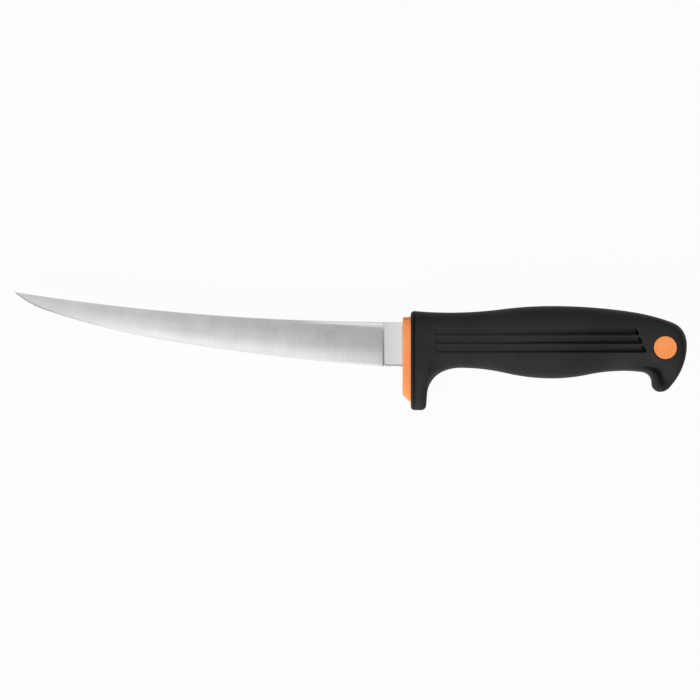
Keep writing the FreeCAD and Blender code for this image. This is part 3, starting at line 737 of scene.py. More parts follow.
def make_thickness_rule():
    """Half the thickness at a distance from the edge and a place along the blade."""
    tree, given, wanted = new_group(
        "ground_thickness",
        "GeometryNodeTree",
        [("From Edge", "Float", 0.0), ("Along", "Float", 0.0), *grind_sockets],
        [("Half Thickness", "Float"), ("Ground Share", "Float"), ("Ramp Share", "Float")],
    )
    calc = partial(reckon, tree)
    from_edge, along = given["From Edge"], given["Along"]
    sizes = (given[label] for label in GRIND_SIZES)
    steel, edge, bevel, grind_height, ramp_start, ramp_length, rounding = sizes
    in_bevel = calc("MULTIPLY", calc("DIVIDE", from_edge, bevel, clamp=True), edge)
    past_bevel = calc("MAXIMUM", calc("SUBTRACT", from_edge, bevel), 0.0)
    slope = calc("DIVIDE", calc("SUBTRACT", steel, edge), calc("SUBTRACT", grind_height, bevel))
    ground = calc("MINIMUM", calc("MULTIPLY_ADD", past_bevel, slope, in_bevel), steel)
    on_ramp = calc("DIVIDE", calc("SUBTRACT", along, ramp_start), ramp_length, clamp=True)
    on_flat = calc("GREATER_THAN", on_ramp, RAMP_END_SHARE)
    short_of = calc("SUBTRACT", 1.0, calc("DIVIDE", from_edge, rounding, clamp=True))
    rounded_off = calc("MULTIPLY", calc("POWER", short_of, 2.0), rounding)
    left_over = calc("SUBTRACT", calc("SUBTRACT", steel, rounded_off), ground)
    half = calc("MULTIPLY_ADD", left_over, calc("POWER", on_ramp, RAMP_CURVE), ground)
    spare = calc("SUBTRACT", steel, half)
    tree.links.new(half, wanted["Half Thickness"])
    tree.links.new(calc("DIVIDE", spare, GROUND_FADE, clamp=True), wanted["Ground Share"])
    tree.links.new(calc("SUBTRACT", on_ramp, on_flat, clamp=True), wanted["Ramp Share"])
    return tree


thickness_rule = make_thickness_rule()
print("rule:", thickness_rule.name, list(GRIND_SIZES))

# %% Tree that builds the blade
BEVEL_ROWS_SHARE = 0.16
MOST_BEVEL_SHARE = 0.3
WALL_POINTS = 7
MERGE_DISTANCE = 2e-6


def make_blade_tree():
    """Two ground sides, the walls at the edge and the spine, and the tang, merged into one mesh."""
    tree, given, wanted = new_group(
        "ground_blade",
        "GeometryNodeTree",
        [
            ("Edge Line", "Object", None),
            ("Spine Line", "Object", None),
            ("Tang", "Object", None),
            ("Stations", "Int", 2),
            ("Rows", "Int", 2),
            ("Middle Plane", "Float", 0.0),
            ("Crown", "Float", 0.0),
            ("Finish", "Material", None),
            *grind_sockets,
        ],
        [("Blade", "Geometry")],
    )
    calc = partial(reckon, tree)

    def made(kind, inputs=(), output=0, **settings):
        return add(tree, kind, inputs, **settings).outputs[output]

    def vector(operation, inputs, output=0):
        return made("ShaderNodeVectorMath", inputs, output, operation=operation)

    def shape_of(label):
        return made("GeometryNodeObjectInfo", {"Object": given[label]}, "Geometry")

    position = made("GeometryNodeInputPosition")
    grid_spot = add(tree, "ShaderNodeSeparateXYZ", {0: position}).outputs
    last_station = calc("SUBTRACT", given["Stations"], 1.0)
    station = calc("ROUND", calc("MULTIPLY", calc("ADD", grid_spot["X"], 0.5), last_station))

    def at_station(label):
        sampled = {"Geometry": shape_of(label), "Value": position, "Index": station}
        return made("GeometryNodeSampleIndex", sampled, data_type="FLOAT_VECTOR")

    edge, spine = at_station("Edge Line"), at_station("Spine Line")
    across = vector("SUBTRACT", {0: spine, 1: edge})
    height = vector("LENGTH", {0: across}, "Value")
    outward = vector("NORMALIZE", {0: across})

    def thickness_at(from_edge, along):
        sizes = {label: given[label] for label in GRIND_SIZES}
        sizes.update({"From Edge": from_edge, "Along": along})
        return add(tree, "GeometryNodeGroup", sizes, node_tree=thickness_rule).outputs

    def spot_at(from_edge):
        step = vector("SCALE", {0: outward, "Scale": from_edge})
        return add(tree, "ShaderNodeSeparateXYZ", {0: vector("ADD", {0: edge, 1: step})}).outputs

    def grid(rows, **carried_values):
        mesh = made("GeometryNodeMeshGrid", {"Vertices X": given["Stations"], "Vertices Y": rows}, "Mesh")
        for label, value in carried_values.items():
            stored = {"Geometry": mesh, "Name": label, "Value": value}
            mesh = made("GeometryNodeStoreNamedAttribute", stored, data_type="FLOAT", domain="POINT")
        return mesh

    def settled(mesh, spot, half, side):
        out = calc("MULTIPLY_ADD", half, side, given["Middle Plane"])
        place = made("ShaderNodeCombineXYZ", {0: spot["X"], 1: spot["Y"], 2: out})
        return made("GeometryNodeSetPosition", {"Geometry": mesh, "Position": place})

    rise = calc("ADD", grid_spot["Y"], 0.5)
    bevel_reach = calc("MINIMUM", given["Bevel Width"], calc("MULTIPLY", height, MOST_BEVEL_SHARE))
    in_bevel = calc("DIVIDE", rise, BEVEL_ROWS_SHARE, clamp=True)
    past_bevel = calc("SUBTRACT", rise, BEVEL_ROWS_SHARE)
    past_bevel = calc("DIVIDE", past_bevel, 1 - BEVEL_ROWS_SHARE, clamp=True)
    in_wedge = calc("MULTIPLY", calc("SUBTRACT", height, bevel_reach), past_bevel)
    from_edge = calc("MULTIPLY_ADD", bevel_reach, in_bevel, in_wedge)
    spot = spot_at(from_edge)
    steel = thickness_at(from_edge, spot["X"])

    parts = []
    for side in (1.0, -1.0):
        mesh = grid(
            given["Rows"],
            from_edge=from_edge,
            height_share=calc("DIVIDE", from_edge, height),
            ground_share=steel["Ground Share"],
            ramp_share=steel["Ramp Share"],
        )
        parts.append(settled(mesh, spot, steel["Half Thickness"], side))

    across_wall = calc("MULTIPLY", grid_spot["Y"], 2.0)
    bulge = calc("SUBTRACT", 1.0, calc("MULTIPLY", across_wall, across_wall))
    for wall_share, direction in ((0.0, -1.0), (1.0, 1.0)):
        wall = calc("MULTIPLY", height, wall_share)
        half = thickness_at(wall, spot_at(wall)["X"])["Half Thickness"]
        fullness = calc("DIVIDE", half, given["Half Steel"])
        crown = calc("MULTIPLY", calc("MULTIPLY", bulge, fullness), given["Crown"])
        crowned = spot_at(calc("MULTIPLY_ADD", crown, direction, wall))
        mesh = grid(WALL_POINTS, from_edge=wall, ground_share=0.0)
        parts.append(settled(mesh, crowned, half, across_wall))

    joined = tree.nodes.new("GeometryNodeJoinGeometry")
    for part in (*parts, shape_of("Tang")):
        tree.links.new(part, joined.inputs[0])
    merging = {"Geometry": joined.outputs[0], "Distance": MERGE_DISTANCE}
    whole = made("GeometryNodeRealizeInstances", {"Geometry": made("GeometryNodeMergeByDistance", merging)})
    finished = made("GeometryNodeSetMaterial", {"Geometry": whole, "Material": given["Finish"]})
    tree.links.new(finished, wanted["Blade"])
    return tree


blade_tree = make_blade_tree()
print("tree:", blade_tree.name, len(blade_tree.nodes), "nodes")


# %% Helpers for finished pieces
NO_LENGTH = 1e-7


def evaluated_mesh(holder, name):
    """The mesh that an object's modifiers give."""
    depsgraph = bpy.context.evaluated_depsgraph_get()
    mesh = bpy.data.meshes.new_from_object(
        holder.evaluated_get(depsgraph), preserve_all_data_layers=True, depsgraph=depsgraph
    )
    mesh.name = name
    return mesh


def discard(*things):
    for thing in things:
        mesh = thing.data
        bpy.data.objects.remove(thing)
        bpy.data.meshes.remove(mesh)


def finished_piece(mesh, crease_angle, node):
    """Closes a mesh, turns its faces outwards, shades it, and lets it stand for a CAD node."""
    shape = bmesh.new()
    shape.from_mesh(mesh)
    bmesh.ops.dissolve_degenerate(shape, edges=shape.edges, dist=NO_LENGTH)
    bmesh.ops.holes_fill(shape, edges=[edge for edge in shape.edges if edge.is_boundary])
    bmesh.ops.recalc_face_normals(shape, faces=shape.faces)
    open_edges = sum(not edge.is_manifold for edge in shape.edges)
    shape.to_mesh(mesh)
    shape.free()
    mesh.polygons.foreach_set("use_smooth", [True] * len(mesh.polygons))
    mesh.set_sharp_from_angle(angle=math.radians(crease_angle))
    piece = linked(mesh.name, mesh)
    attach(piece, "root")
    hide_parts(node)
    print(f"{mesh.name}: {len(mesh.polygons)} faces, {open_edges} open edges")


print("piece helpers ready")

# %% Run the tree and keep the result as a mesh
BLADE_ROWS = 50
SPINE_CROWN = 0.12
BLADE_CREASE = 24
holder = linked("blade_holder", bpy.data.meshes.new("blade_holder"))
grinder = holder.modifiers.new("grinder", "NODES")
grinder.node_group = blade_tree
grind_inputs = {
    "Edge Line": edge_object,
    "Spine Line": spine_object,
    "Tang": tang_object,
    "Stations": len(stations),
    "Rows": BLADE_ROWS,
    "Middle Plane": HEEL.z,
    "Crown": SPINE_CROWN * MM,
    "Finish": finishes["blade_steel"],
}
grind_inputs.update({label: value * MM for label, value in GRIND_SIZES.items()})
grind_inputs["Ramp Start"] += HEEL.x
for item in blade_tree.interface.items_tree:
    if item.in_out == "INPUT":
        grinder[item.identifier] = grind_inputs[item.name]
blade_mesh = evaluated_mesh(holder, "ground_blade")
holder.modifiers.remove(grinder)
discard(holder, edge_object, spine_object, tang_object)
finished_piece(blade_mesh, BLADE_CREASE, "blade")

# %% [markdown]
# ## The grip
#
# The soft grip is moulded round a hard core. Its form is free, so a cage of sections is drawn across two
# facing points of the back and the belly line, and a Subdivision Surface modifier smooths it. Each section
# runs up the left side and down the right side. The rows of the cage keep the same height along the three
# grooves, with close pairs at each groove's walls, so the walls stay crisp when the cage is smoothed.

# %% Outline of the grip
COLLAR_PROUD = 3.75
COLLAR_DEPTH = 4.35
FRONT_ROUNDING = 1.7
FRONT_ROLL = 0.6
FRONT_TOP = (COLLAR_PROUD + FRONT_ROUNDING, 15.3)
FRONT_FOOT = (COLLAR_PROUD + FRONT_ROUNDING, -30.3)
GUARD_CORNER = (8.7, -30.3)
GUARD_REAR = (10.9, -28.1)
COVE = ((11.25, -23.8), (19.3, -12.2), (26.5, -10.85))
WAIST_TOP = (22.0, 14.55)
WAIST_FOOT = COVE[-1]
SWELL_TOP = (68.5, 17.6)
SWELL_FOOT = (68.5, -15.75)
NECK_TOP = (104.6, 14.95)
NECK_FOOT = (101.4, -12.25)
HOOK_FOOT = (118.5, -21.85)
BUTT = ((124.3, 9.85), (129.3, 5.2), (130.5, -0.6), (126.4, -14.6), (122.25, -20.1), HOOK_FOOT)
HOOK_BELLY = (NECK_FOOT, (110.0, -12.85), (114.15, -17.8), HOOK_FOOT)


def wave(start, stop):
    """An S of two equal arcs that is level at both ends."""
    middle = np.add(start, stop) / 2
    return chain([start, middle, stop], LEVEL)


front_back = chain([WAIST_TOP, FRONT_TOP], math.pi)[::-1]
guard_sole = chain([FRONT_FOOT, GUARD_CORNER], LEVEL)
guard_heel = chain([GUARD_CORNER, GUARD_REAR], LEVEL)
cove_line = np.concatenate((np.array([GUARD_REAR]), chain(COVE, math.pi / 2)))
neck_line = chain([SWELL_TOP, NECK_TOP], LEVEL)
back_and_butt = chain([SWELL_TOP, NECK_TOP, *BUTT], LEVEL)
butt_line = back_and_butt[len(neck_line) - 1:]
hook_line = chain(HOOK_BELLY, LEVEL)
print(f"grip from {COLLAR_PROUD} to {back_and_butt[:, 0].max():.1f} mm")

# %% Sections of the guard and the hand
HALF_WIDTHS = {"front": 10.8, "waist": 10.0, "swell": 11.5, "neck": 10.4}
SQUARENESS = {"front": (2.3, 2.3), "hand": (3.1, 2.35), "butt": (3.4, 5.0), "hook": (12.0, 12.0)}
GUARD_TAPER = 0.2
FRONT_STEPS = 8
SOLE_STEPS = 8
HEEL_STEPS = 5
COVE_STEPS = 26
COVE_CROWDING = 1.35
HAND_STEPS = 12
sections = []


def evenly(count):
    return np.arange(count) / count


def eased_pairs(first, last, share):
    """The squareness of the lower and the upper half of sections between two named places."""
    return np.column_stack([eased(*ends, share) for ends in zip(SQUARENESS[first], SQUARENESS[last])])


def add_sections(tops, feet, widths, squareness, taper=repeat(0.0)):
    sections.extend(zip(tops, feet, widths, squareness, taper))


turn = evenly(FRONT_STEPS) * math.pi / 2
inset = FRONT_ROUNDING * (1 - np.sin(turn))
forward = -FRONT_ROUNDING * np.cos(turn)
add_sections(
    np.column_stack((FRONT_TOP[0] + forward, FRONT_TOP[1] - inset)),
    np.column_stack((FRONT_FOOT[0] + forward, FRONT_FOOT[1] + inset)),
    HALF_WIDTHS["front"] - inset * FRONT_ROLL / FRONT_ROUNDING,
    eased_pairs("front", "front", turn),
    np.full(FRONT_STEPS, GUARD_TAPER),
)
front_feet = np.concatenate((
    along_line(guard_sole, evenly(SOLE_STEPS)),
    along_line(guard_heel, evenly(HEEL_STEPS)),
    along_line(cove_line, evenly(COVE_STEPS) ** COVE_CROWDING),
))
share = evenly(len(front_feet))
add_sections(
    along_line(front_back, share),
    front_feet,
    eased(HALF_WIDTHS["front"], HALF_WIDTHS["waist"], share),
    eased_pairs("front", "hand", share),
    eased(GUARD_TAPER, 0, share),
)
share = evenly(HAND_STEPS)
hand_squareness = eased_pairs("hand", "hand", share)
add_sections(
    along_line(wave(WAIST_TOP, SWELL_TOP), share),
    along_line(wave(WAIST_FOOT, SWELL_FOOT), share),
    eased(HALF_WIDTHS["waist"], HALF_WIDTHS["swell"], share),
    hand_squareness,
)
add_sections(
    along_line(neck_line, share),
    along_line(wave(SWELL_FOOT, NECK_FOOT), share),
    eased(HALF_WIDTHS["swell"], HALF_WIDTHS["neck"], share),
    hand_squareness,
)
print(len(sections), "sections from the guard to the neck")

# %% [markdown]
# Behind the neck the sections swing round with the outline and shrink towards the tip of the hook. They get
# square there, so that the rim of the tip is shaped by its rounded edge and not by ever shorter sections.

# %% Sections of the butt and the hook
BUTT_FLAT_SHARE = 0.3
HOOK_SQUARE_FROM = 0.5
HOOK_SQUARE_OVER = 0.35
HOOK_NARROWING = 0.17
NARROWING_CURVE = 4
BUTT_STRETCHES = ((0.0, 0.09, 4), (0.09, 0.27, 27))
HOOK_FROM = 0.27
HOOK_REACH = 0.715
HOOK_STEPS = 26
HOOK_CROWDING = 1.4

end_share = 1 - (1 - np.linspace(0, 1, HOOK_STEPS)) ** HOOK_CROWDING
butt_shares = [np.linspace(*stretch)[:-1] for stretch in BUTT_STRETCHES]
hook_share = np.concatenate((*butt_shares, HOOK_FROM + HOOK_REACH * end_share))
to_butt = eased_pairs("hand", "butt", np.minimum(1, hook_share / BUTT_FLAT_SHARE))
square_share = np.clip((hook_share - HOOK_SQUARE_FROM) / HOOK_SQUARE_OVER, 0, 1)
to_hook = eased_pairs("butt", "hook", square_share)
hook_squareness = np.where(hook_share[:, None] < HOOK_SQUARE_FROM, to_butt, to_hook)
add_sections(
    along_line(butt_line, hook_share),
    along_line(hook_line, hook_share),
    HALF_WIDTHS["neck"] * (1 - HOOK_NARROWING * hook_share**NARROWING_CURVE),
    hook_squareness,
)
print(len(sections), "sections from the guard to the hook")

# %% Rows of the cage, with the grooves
GROOVE_HEIGHT = 2.8
GROOVE_MIDDLES = (-2.1, 1.9, 5.9)
GROOVE_FRONT = 14.6
GROOVE_REAR = 109.75
GROOVE_LEAN = 0.42
SHALLOW = 0.6
DEEP = 2.4
DEEPENING = 1.5
LOWER_WALL = (-0.5, -0.38, 0.38, 0.5)
UPPER_WALL = (0.25, 0.08, -0.08, -0.25)
FRONT_SLOPE = 1.6
REAR_WALL = 0.35
FRONT_DIP = 0.5
FRONT_DIP_LENGTH = 4.5
LOW_ROWS = 15
HIGH_ROWS = 13
LAST_LEVEL_SECTION = 113.0

band = []
for middle in GROOVE_MIDDLES:
    band += [(middle - GROOVE_HEIGHT / 2 + step, step > 0) for step in LOWER_WALL]
    band += [(middle, True)]
    band += [(middle + GROOVE_HEIGHT / 2 - step, step > 0) for step in UPPER_WALL]
band_up = np.array([up for up, sunk in band])
band_sunk = np.array([sunk for up, sunk in band], float)
row_sunk = np.concatenate((np.zeros(LOW_ROWS), band_sunk, np.zeros(HIGH_ROWS)))


def signed_power(value, power):
    return np.sign(value) * np.abs(value) ** power


def groove_end(up):
    """Where the grooves stop at the rear, along a line that leans forward."""
    in_band = np.clip(up, band_up[0], band_up[-1])
    return GROOVE_REAR + GROOVE_LEAN * (GROOVE_MIDDLES[1] - in_band)


def groove_depth(along, up):
    """How deep a groove is at a place on the side."""
    share = np.clip((along - WAIST_FOOT[0]) / (GROOVE_REAR - WAIST_FOOT[0]), 0, 1)
    depth = SHALLOW + (DEEP - SHALLOW) * share**DEEPENING
    depth = depth + FRONT_DIP * np.exp(-np.abs(along - GROOVE_FRONT) / FRONT_DIP_LENGTH)
    start = 1 - np.exp(-np.clip(along - GROOVE_FRONT, 0, None) / FRONT_SLOPE)
    stop = np.clip((groove_end(up) - along) / REAR_WALL, 0, 1)
    return depth * start * stop


def side_lifts(squareness, band_lift):
    """Heights of the rows on one side of a section, from -1 at its foot to 1 at its top."""
    ends = np.arcsin(signed_power(band_lift[[0, -1]], np.divide(squareness, 2)))
    low = np.linspace(-math.pi / 2, ends[0], LOW_ROWS + 1)[:-1]
    high = np.linspace(ends[1], math.pi / 2, HIGH_ROWS + 1)[1:]
    low, high = (signed_power(np.sin(turn), 2 / power) for turn, power in zip((low, high), squareness))
    return np.concatenate((low, band_lift, high))


def side_points(top, foot, half_width, squareness, taper, lift, sunk):
    """Points up one side of a section."""
    place = (top + foot) / 2 + lift[:, None] * (top - foot) / 2
    power = np.where(lift < 0, *squareness)
    swing = np.clip(1 - np.abs(lift) ** power, 0, 1) ** (1 / power)
    depth = groove_depth(*place.T) * sunk
    out = (half_width - depth) * swing * (1 + taper * lift)
    return np.column_stack((place, out))


def ring(side):
    """A closed ring: up the left side and down the right side."""
    other = side[-2:0:-1] * (1, 1, -1)
    return np.concatenate((side, other))


rings = []
band_lift = None
for top, foot, half_width, squareness, taper in sections:
    middle = (top + foot) / 2
    if middle[0] < LAST_LEVEL_SECTION:
        band_lift = (band_up - middle[1]) / (top[1] - middle[1])
    lift = side_lifts(squareness, band_lift)
    rings.append(ring(side_points(top, foot, half_width, squareness, taper, lift, row_sunk)))
print(len(rings), "rings of", len(rings[0]), "points")

# %% [markdown]
# The collar sits a little way into the front of the grip. A few rings of the same cage step down into that
# seat, with a small gap round the collar, so the grip stays one closed surface.

# %% Seat for the collar
COLLAR_TOP = 12.7
COLLAR_FOOT = -26.15
COLLAR_HALF_WIDTH = 7.0
COLLAR_SQUARENESS = (5.0, 5.0)
SEAT_GAP = 0.15
SEAT_LEDGE = 1.0
SEAT_CORNER = 0.1
SEAT_MOUTH = 0.15
SEAT_FLARE = 0.12
FACE_SHARE = 0.65


def seat_ring(along, margin):
    top = np.array((along, COLLAR_TOP + margin))
    foot = np.array((along, COLLAR_FOOT - margin))
    middle = (top + foot) / 2
    lift = side_lifts(COLLAR_SQUARENESS, (band_up - middle[1]) / (top[1] - middle[1]))
    half_width = COLLAR_HALF_WIDTH + margin
    return ring(side_points(top, foot, half_width, COLLAR_SQUARENESS, 0.0, lift, np.zeros_like(row_sunk)))


seat_rings = [
    seat_ring(COLLAR_DEPTH, SEAT_GAP - SEAT_LEDGE),
    seat_ring(COLLAR_DEPTH, SEAT_GAP - SEAT_CORNER),
    seat_ring(COLLAR_DEPTH - SEAT_CORNER, SEAT_GAP),
    seat_ring(COLLAR_PROUD + SEAT_MOUTH, SEAT_GAP),
    seat_ring(COLLAR_PROUD, SEAT_GAP + SEAT_FLARE),
]
face_ring = seat_rings[-1] * (1 - FACE_SHARE) + rings[0] * FACE_SHARE
rings = [*seat_rings, face_ring, *rings]
print("seat half widths", [round(float(spots[:, 2].max()), 2) for spots in seat_rings])

# %% Cage and smooth surface
END_SHARES = (1.0, 0.95, 0.8, 0.4, 0.0, -0.4, -0.8, -0.95, -1.0)
around = len(rings[0])
points = list(np.concatenate(rings))
faces = []
for first in range(len(rings) - 1):
    for step in range(around):
        after = (step + 1) % around
        low, high = first * around, (first + 1) * around
        faces.append((low + step, high + step, high + after, low + after))
last = (len(rings) - 1) * around
seat_middle = len(points)
points.append((COLLAR_DEPTH, (COLLAR_TOP + COLLAR_FOOT) / 2, 0))
for step in range(around):
    faces.append((seat_middle, step, (step + 1) % around))


def end_row(step):
    """A row of points across the end of the hook, from the left side to the right side."""
    left, right = last + step, last + (around - step) % around
    if left == right:
        return [left] * len(END_SHARES)
    inner = range(len(points), len(points) + len(END_SHARES) - 2)
    points.extend(np.multiply(points[left], (1, 1, share)) for share in END_SHARES[1:-1])
    return [left, *inner, right]


end_rows = [end_row(step) for step in range(around // 2 + 1)]
for low, high in zip(end_rows, end_rows[1:]):
    for corners in zip(low, high, high[1:], low[1:]):
        faces.append(list(dict.fromkeys(corners)))

cage_mesh = bpy.data.meshes.new("grip_cage")
cage_mesh.from_pydata(placed(points).tolist(), [], faces)
cage = linked("grip_cage", cage_mesh)
smoother = cage.modifiers.new("smoother", "SUBSURF")
smoother.levels = smoother.render_levels = 1
smooth_mesh = evaluated_mesh(cage, "smooth_grip")
discard(cage)
print(f"smooth grip: {len(smooth_mesh.vertices)} points")

# %% [markdown]
# ## Small forms of the grip
#
# The mould has more in it than the large form: lines, rounded edges and slots. Each follows a line on the
# grip's side, so it can be made by pressing points of the smooth surface in by their distance from that line.
# The pressing fades out where the side turns in towards the back and the belly, which keeps the outline.


# %% Helpers for pressing in
surface = np.empty(len(smooth_mesh.vertices) * 3)
smooth_mesh.vertices.foreach_get("co", surface)
surface = (surface.reshape(-1, 3) - np.array(HEEL)) / MM
surface_along, surface_up = surface[:, 0], surface[:, 1]
everywhere = np.arange(len(surface))


def press_in(near, depth, full_from):
    """Presses points in towards the middle plane, fully from a distance out of it."""
    out = surface[near, 2]
    surface[near, 2] = out - np.sign(out) * depth * np.clip(np.abs(out) / full_from, 0, 1)


def nearest(near, line):
    """Which point of a line is closest, how far off the line lies, and how far to its left a point is."""
    gaps = surface[near, None, :2] - line[None]
    distance = np.hypot(gaps[..., 0], gaps[..., 1])
    closest = distance.argmin(axis=1)
    offset = gaps[np.arange(len(near)), closest]
    heading = np.gradient(line, axis=0)
    ahead, aside = (heading / np.hypot(*heading.T)[:, None])[closest].T
    to_left = ahead * offset[:, 1] - aside * offset[:, 0]
    past_end = (closest == 0) | (closest == len(line) - 1)
    return closest, np.where(past_end, distance.min(axis=1), np.abs(to_left)), to_left


def rise(share):
    return eased(0, 1, np.clip(share, 0, 1))


print(len(surface), "points of the smooth grip")

# %% [markdown]
# At the butt, a rounded bead runs along the inner edge of the hook and meets the flat face round the plug in
# a valley, steep on the bead's side and gentle on the other. The face round the plug stays flat, so the plug
# is flush all round.

# %% Valley between the bead and the butt
VALLEY = (
    (102.5, -9.6),
    (112.8, -9.9),
    (117.6, -12.0),
    (119.5, -15.5),
    (120.0, -19.0),
    (119.8, -21.5),
)
VALLEY_DEPTH = 3.1
FACE_SIDE_WIDTH = 4.0
BEAD_SIDE_WIDTH = 1.7
VALLEY_GROWTH = 0.45
VALLEY_FADE = 0.22
VALLEY_STEP = 4
VALLEY_FULL_FROM = 4.0
PLUG_SPOT = (120.5, -1.5)
FLAT_FACE_RADIUS = 5.8
FLAT_FACE_FADE = 2.8
valley_line = chain(VALLEY, LEVEL)[::VALLEY_STEP]

near = np.flatnonzero((surface_along > NECK_FOOT[0] - FACE_SIDE_WIDTH) & (surface_up < 0))
closest, distance, to_left = nearest(near, valley_line)
width = np.where(to_left > 0, FACE_SIDE_WIDTH, BEAD_SIDE_WIDTH)
share = shares_of(valley_line)[closest]
growth = rise(share / VALLEY_GROWTH) * rise((1 - share) / VALLEY_FADE)
from_plug = np.hypot(*(surface[near, :2] - PLUG_SPOT).T)
growth = growth * rise((from_plug - FLAT_FACE_RADIUS) / FLAT_FACE_FADE)
pressed = VALLEY_DEPTH * growth * np.exp(-((distance / width) ** 2))
press_in(near, pressed, VALLEY_FULL_FROM)
print(f"valley: {np.count_nonzero(pressed > 0.05)} points, {pressed.max():.2f} mm deep at most")

# %% [markdown]
# A fine line sets the rolled front rim off from the rest of the grip. It lies at one place along the knife.

# %% Line behind the front rim
RIM_LINE = 5.65
RIM_LINE_WIDTH = 0.65
RIM_LINE_DEPTH = 1.3
RIM_LINE_FULL_FROM = 6.0
from_rim_line = (surface_along - RIM_LINE) / RIM_LINE_WIDTH
press_in(everywhere, RIM_LINE_DEPTH * np.exp(-(from_rim_line**2)), RIM_LINE_FULL_FROM)
print(f"rim line: {RIM_LINE_DEPTH} mm deep, {RIM_LINE} mm behind the collar's front")

# %% [markdown]
# The edges that fingers close round are rounded off: the rear of the guard, the butt and the bead. Each
# rounding is a parabola across its width, which meets the side without a crease, and the width changes along
# the edge. The butt and the bead share one line, so the rounding runs on round the tip of the hook.

# %% Rounded edges of the guard and the butt
GUARD_ROUNDING = 4.2
COVE_ROUNDING = 1.2
BUTT_ROUNDING = 3.2
BEAD_ROUNDING = 2.4
LEAST_ROUNDING = 0.3
COVE_FADE = (-17.0, -11.5)
BACK_FADE = (115.0, 128.0)
BEAD_FADE = (108.0, 114.0)
EDGE_STEP = 10
EDGE_FULL_FROM = 5.0


def round_edge(edge, rounding, near):
    """Rounds both sides off towards an edge, over a width that is given at each of its points."""
    closest, distance = nearest(near, edge)[:2]
    width = rounding[closest]
    short_of = np.clip(1 - distance / width, 0, 1)
    press_in(near, width / 2 * short_of**2, EDGE_FULL_FROM)


guard_edge = np.concatenate((guard_heel[::EDGE_STEP], cove_line[::EDGE_STEP]))
rounding = np.interp(guard_edge[:, 1], COVE_FADE, (GUARD_ROUNDING, COVE_ROUNDING))
near = np.flatnonzero((surface_along < WAIST_FOOT[0]) & (surface_up < WAIST_FOOT[1] + GUARD_ROUNDING))
round_edge(guard_edge, rounding, near)

butt_edge = butt_line[::EDGE_STEP]
butt_rounding = np.interp(butt_edge[:, 0], BACK_FADE, (LEAST_ROUNDING, BUTT_ROUNDING))
butt_rounding[butt_edge[:, 1] < 0] = BUTT_ROUNDING
bead_edge = hook_line[::-EDGE_STEP]
bead_rounding = np.interp(
    bead_edge[:, 0], (*BEAD_FADE, HOOK_FOOT[0]), (LEAST_ROUNDING, BEAD_ROUNDING, BUTT_ROUNDING)
)
round_edge(
    np.concatenate((butt_edge, bead_edge)),
    np.concatenate((butt_rounding, bead_rounding)),
    np.flatnonzero(surface_along > BEAD_FADE[0] - BUTT_ROUNDING),
)
print(len(guard_edge) + len(butt_edge) + len(bead_edge), "points along the rounded edges")

# %% [markdown]
# Each groove ends at the rear in a narrow slot that is deeper than the groove.

# %% Slots at the rear ends of the grooves
SLOT_DEPTH = 2.2
SLOT_PLACE = 0.55
SLOT_WIDTH = 0.33
SLOT_HALF_HEIGHT = 1.3
SLOT_WALL = 0.2
from_slot = (groove_end(surface_up) - surface_along - SLOT_PLACE) / SLOT_WIDTH
reach = [(SLOT_HALF_HEIGHT - np.abs(surface_up - middle)) / SLOT_WALL for middle in GROOVE_MIDDLES]
in_groove = np.clip(reach, 0, 1).sum(axis=0)
press_in(everywhere, SLOT_DEPTH * in_groove * np.exp(-(from_slot**2)), EDGE_FULL_FROM)
smooth_mesh.vertices.foreach_set("co", placed(surface).ravel())
print(f"slots: {len(GROOVE_MIDDLES)} on each side, {SLOT_DEPTH} mm deep")

# %% [markdown]
# The bores for the plugs go in last. A turned cutter with a small flare at its mouth is subtracted on each
# side, which leaves the thin dark ring round the plug.


# %% Bores for the plugs
BORE_RADIUS = 5.5
BORE_FLOOR = 6.6
BORE_PROFILE = (
    (0, BORE_FLOOR),
    (BORE_RADIUS, BORE_FLOOR),
    (BORE_RADIUS, 9.85),
    (5.62, 10.15),
    (6.2, 10.8),
    (6.2, 14),
    (0, 14),
)
BORE_SEGMENTS = 128
GRIP_CREASE = 40


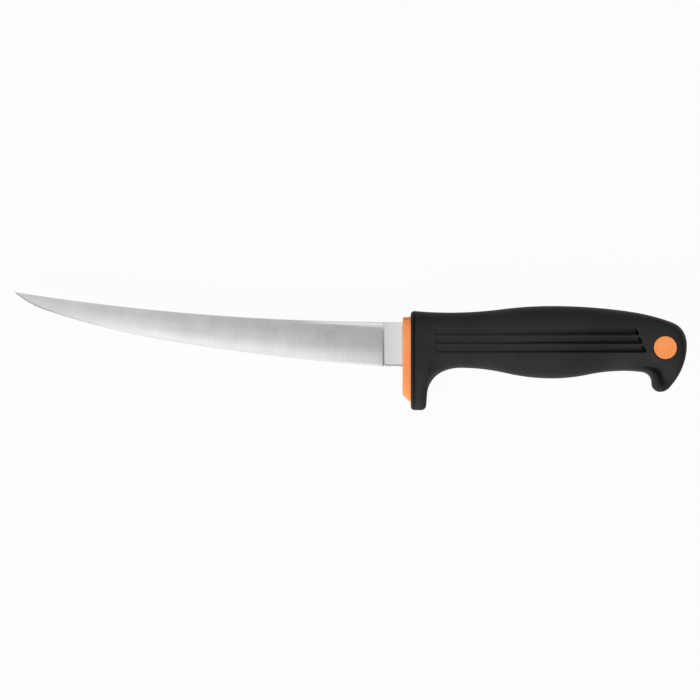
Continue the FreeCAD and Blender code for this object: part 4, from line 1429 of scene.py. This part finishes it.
def bore_cutter(side):
    shape = bmesh.new()
    profile = [shape.verts.new((radius * MM, 0, side * depth * MM)) for radius, depth in BORE_PROFILE]
    edges = [shape.edges.new(pair) for pair in zip(profile, profile[1:])]
    bmesh.ops.spin(
        shape,
        geom=[*profile, *edges],
        axis=(0, 0, 1),
        cent=(0, 0, 0),
        angle=2 * math.pi,
        steps=BORE_SEGMENTS,
        use_merge=True,
    )
    bmesh.ops.remove_doubles(shape, verts=shape.verts, dist=SAME_SPOT)
    bmesh.ops.translate(shape, verts=shape.verts, vec=placed((*PLUG_SPOT, 0)))
    bmesh.ops.recalc_face_normals(shape, faces=shape.faces)
    mesh = bpy.data.meshes.new("bore_cutter")
    shape.to_mesh(mesh)
    shape.free()
    return linked("bore_cutter", mesh)


cutters = [bore_cutter(side) for side in (1, -1)]
blank = linked("grip_blank", smooth_mesh)
for cutter in cutters:
    drill = blank.modifiers.new("drill", "BOOLEAN")
    drill.operation = "DIFFERENCE"
    drill.solver = "EXACT"
    drill.object = cutter
grip_mesh = evaluated_mesh(blank, "rubber_grip")
discard(blank, *cutters)
grip_mesh.materials.clear()
grip_mesh.materials.append(finishes["grip_rubber"])
finished_piece(grip_mesh, GRIP_CREASE, "grip")

# %% [markdown]
# ## Pieces that keep their CAD shape
#
# The collar, the plugs, the core and the pins are plain moulded or turned forms, and the CAD nodes already
# have their real shapes. They only need their finishes.

# %% Finishes for the CAD nodes
NODE_FINISHES = {
    "front_collar": "orange_plastic",
    "butt_plug_left": "orange_plastic",
    "butt_plug_right": "orange_plastic",
    "core_left_half": "core_plastic",
    "core_right_half": "core_plastic",
    "tang_pins": "pin_steel",
}
for label, finish in NODE_FINISHES.items():
    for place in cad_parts[label].material_slots:
        place.material = finishes[finish]
    print(label, "has", finish)

# %% [markdown]
# ## Size
#
# The finished model has to keep the real size, so its box is printed beside the CAD box.

# %% Print the two boxes
boxes = {"cad": CAD_BOX, "visual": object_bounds()}
for label, box in boxes.items():
    print(label, [[round(value, 4) for value in corner] for corner in box])
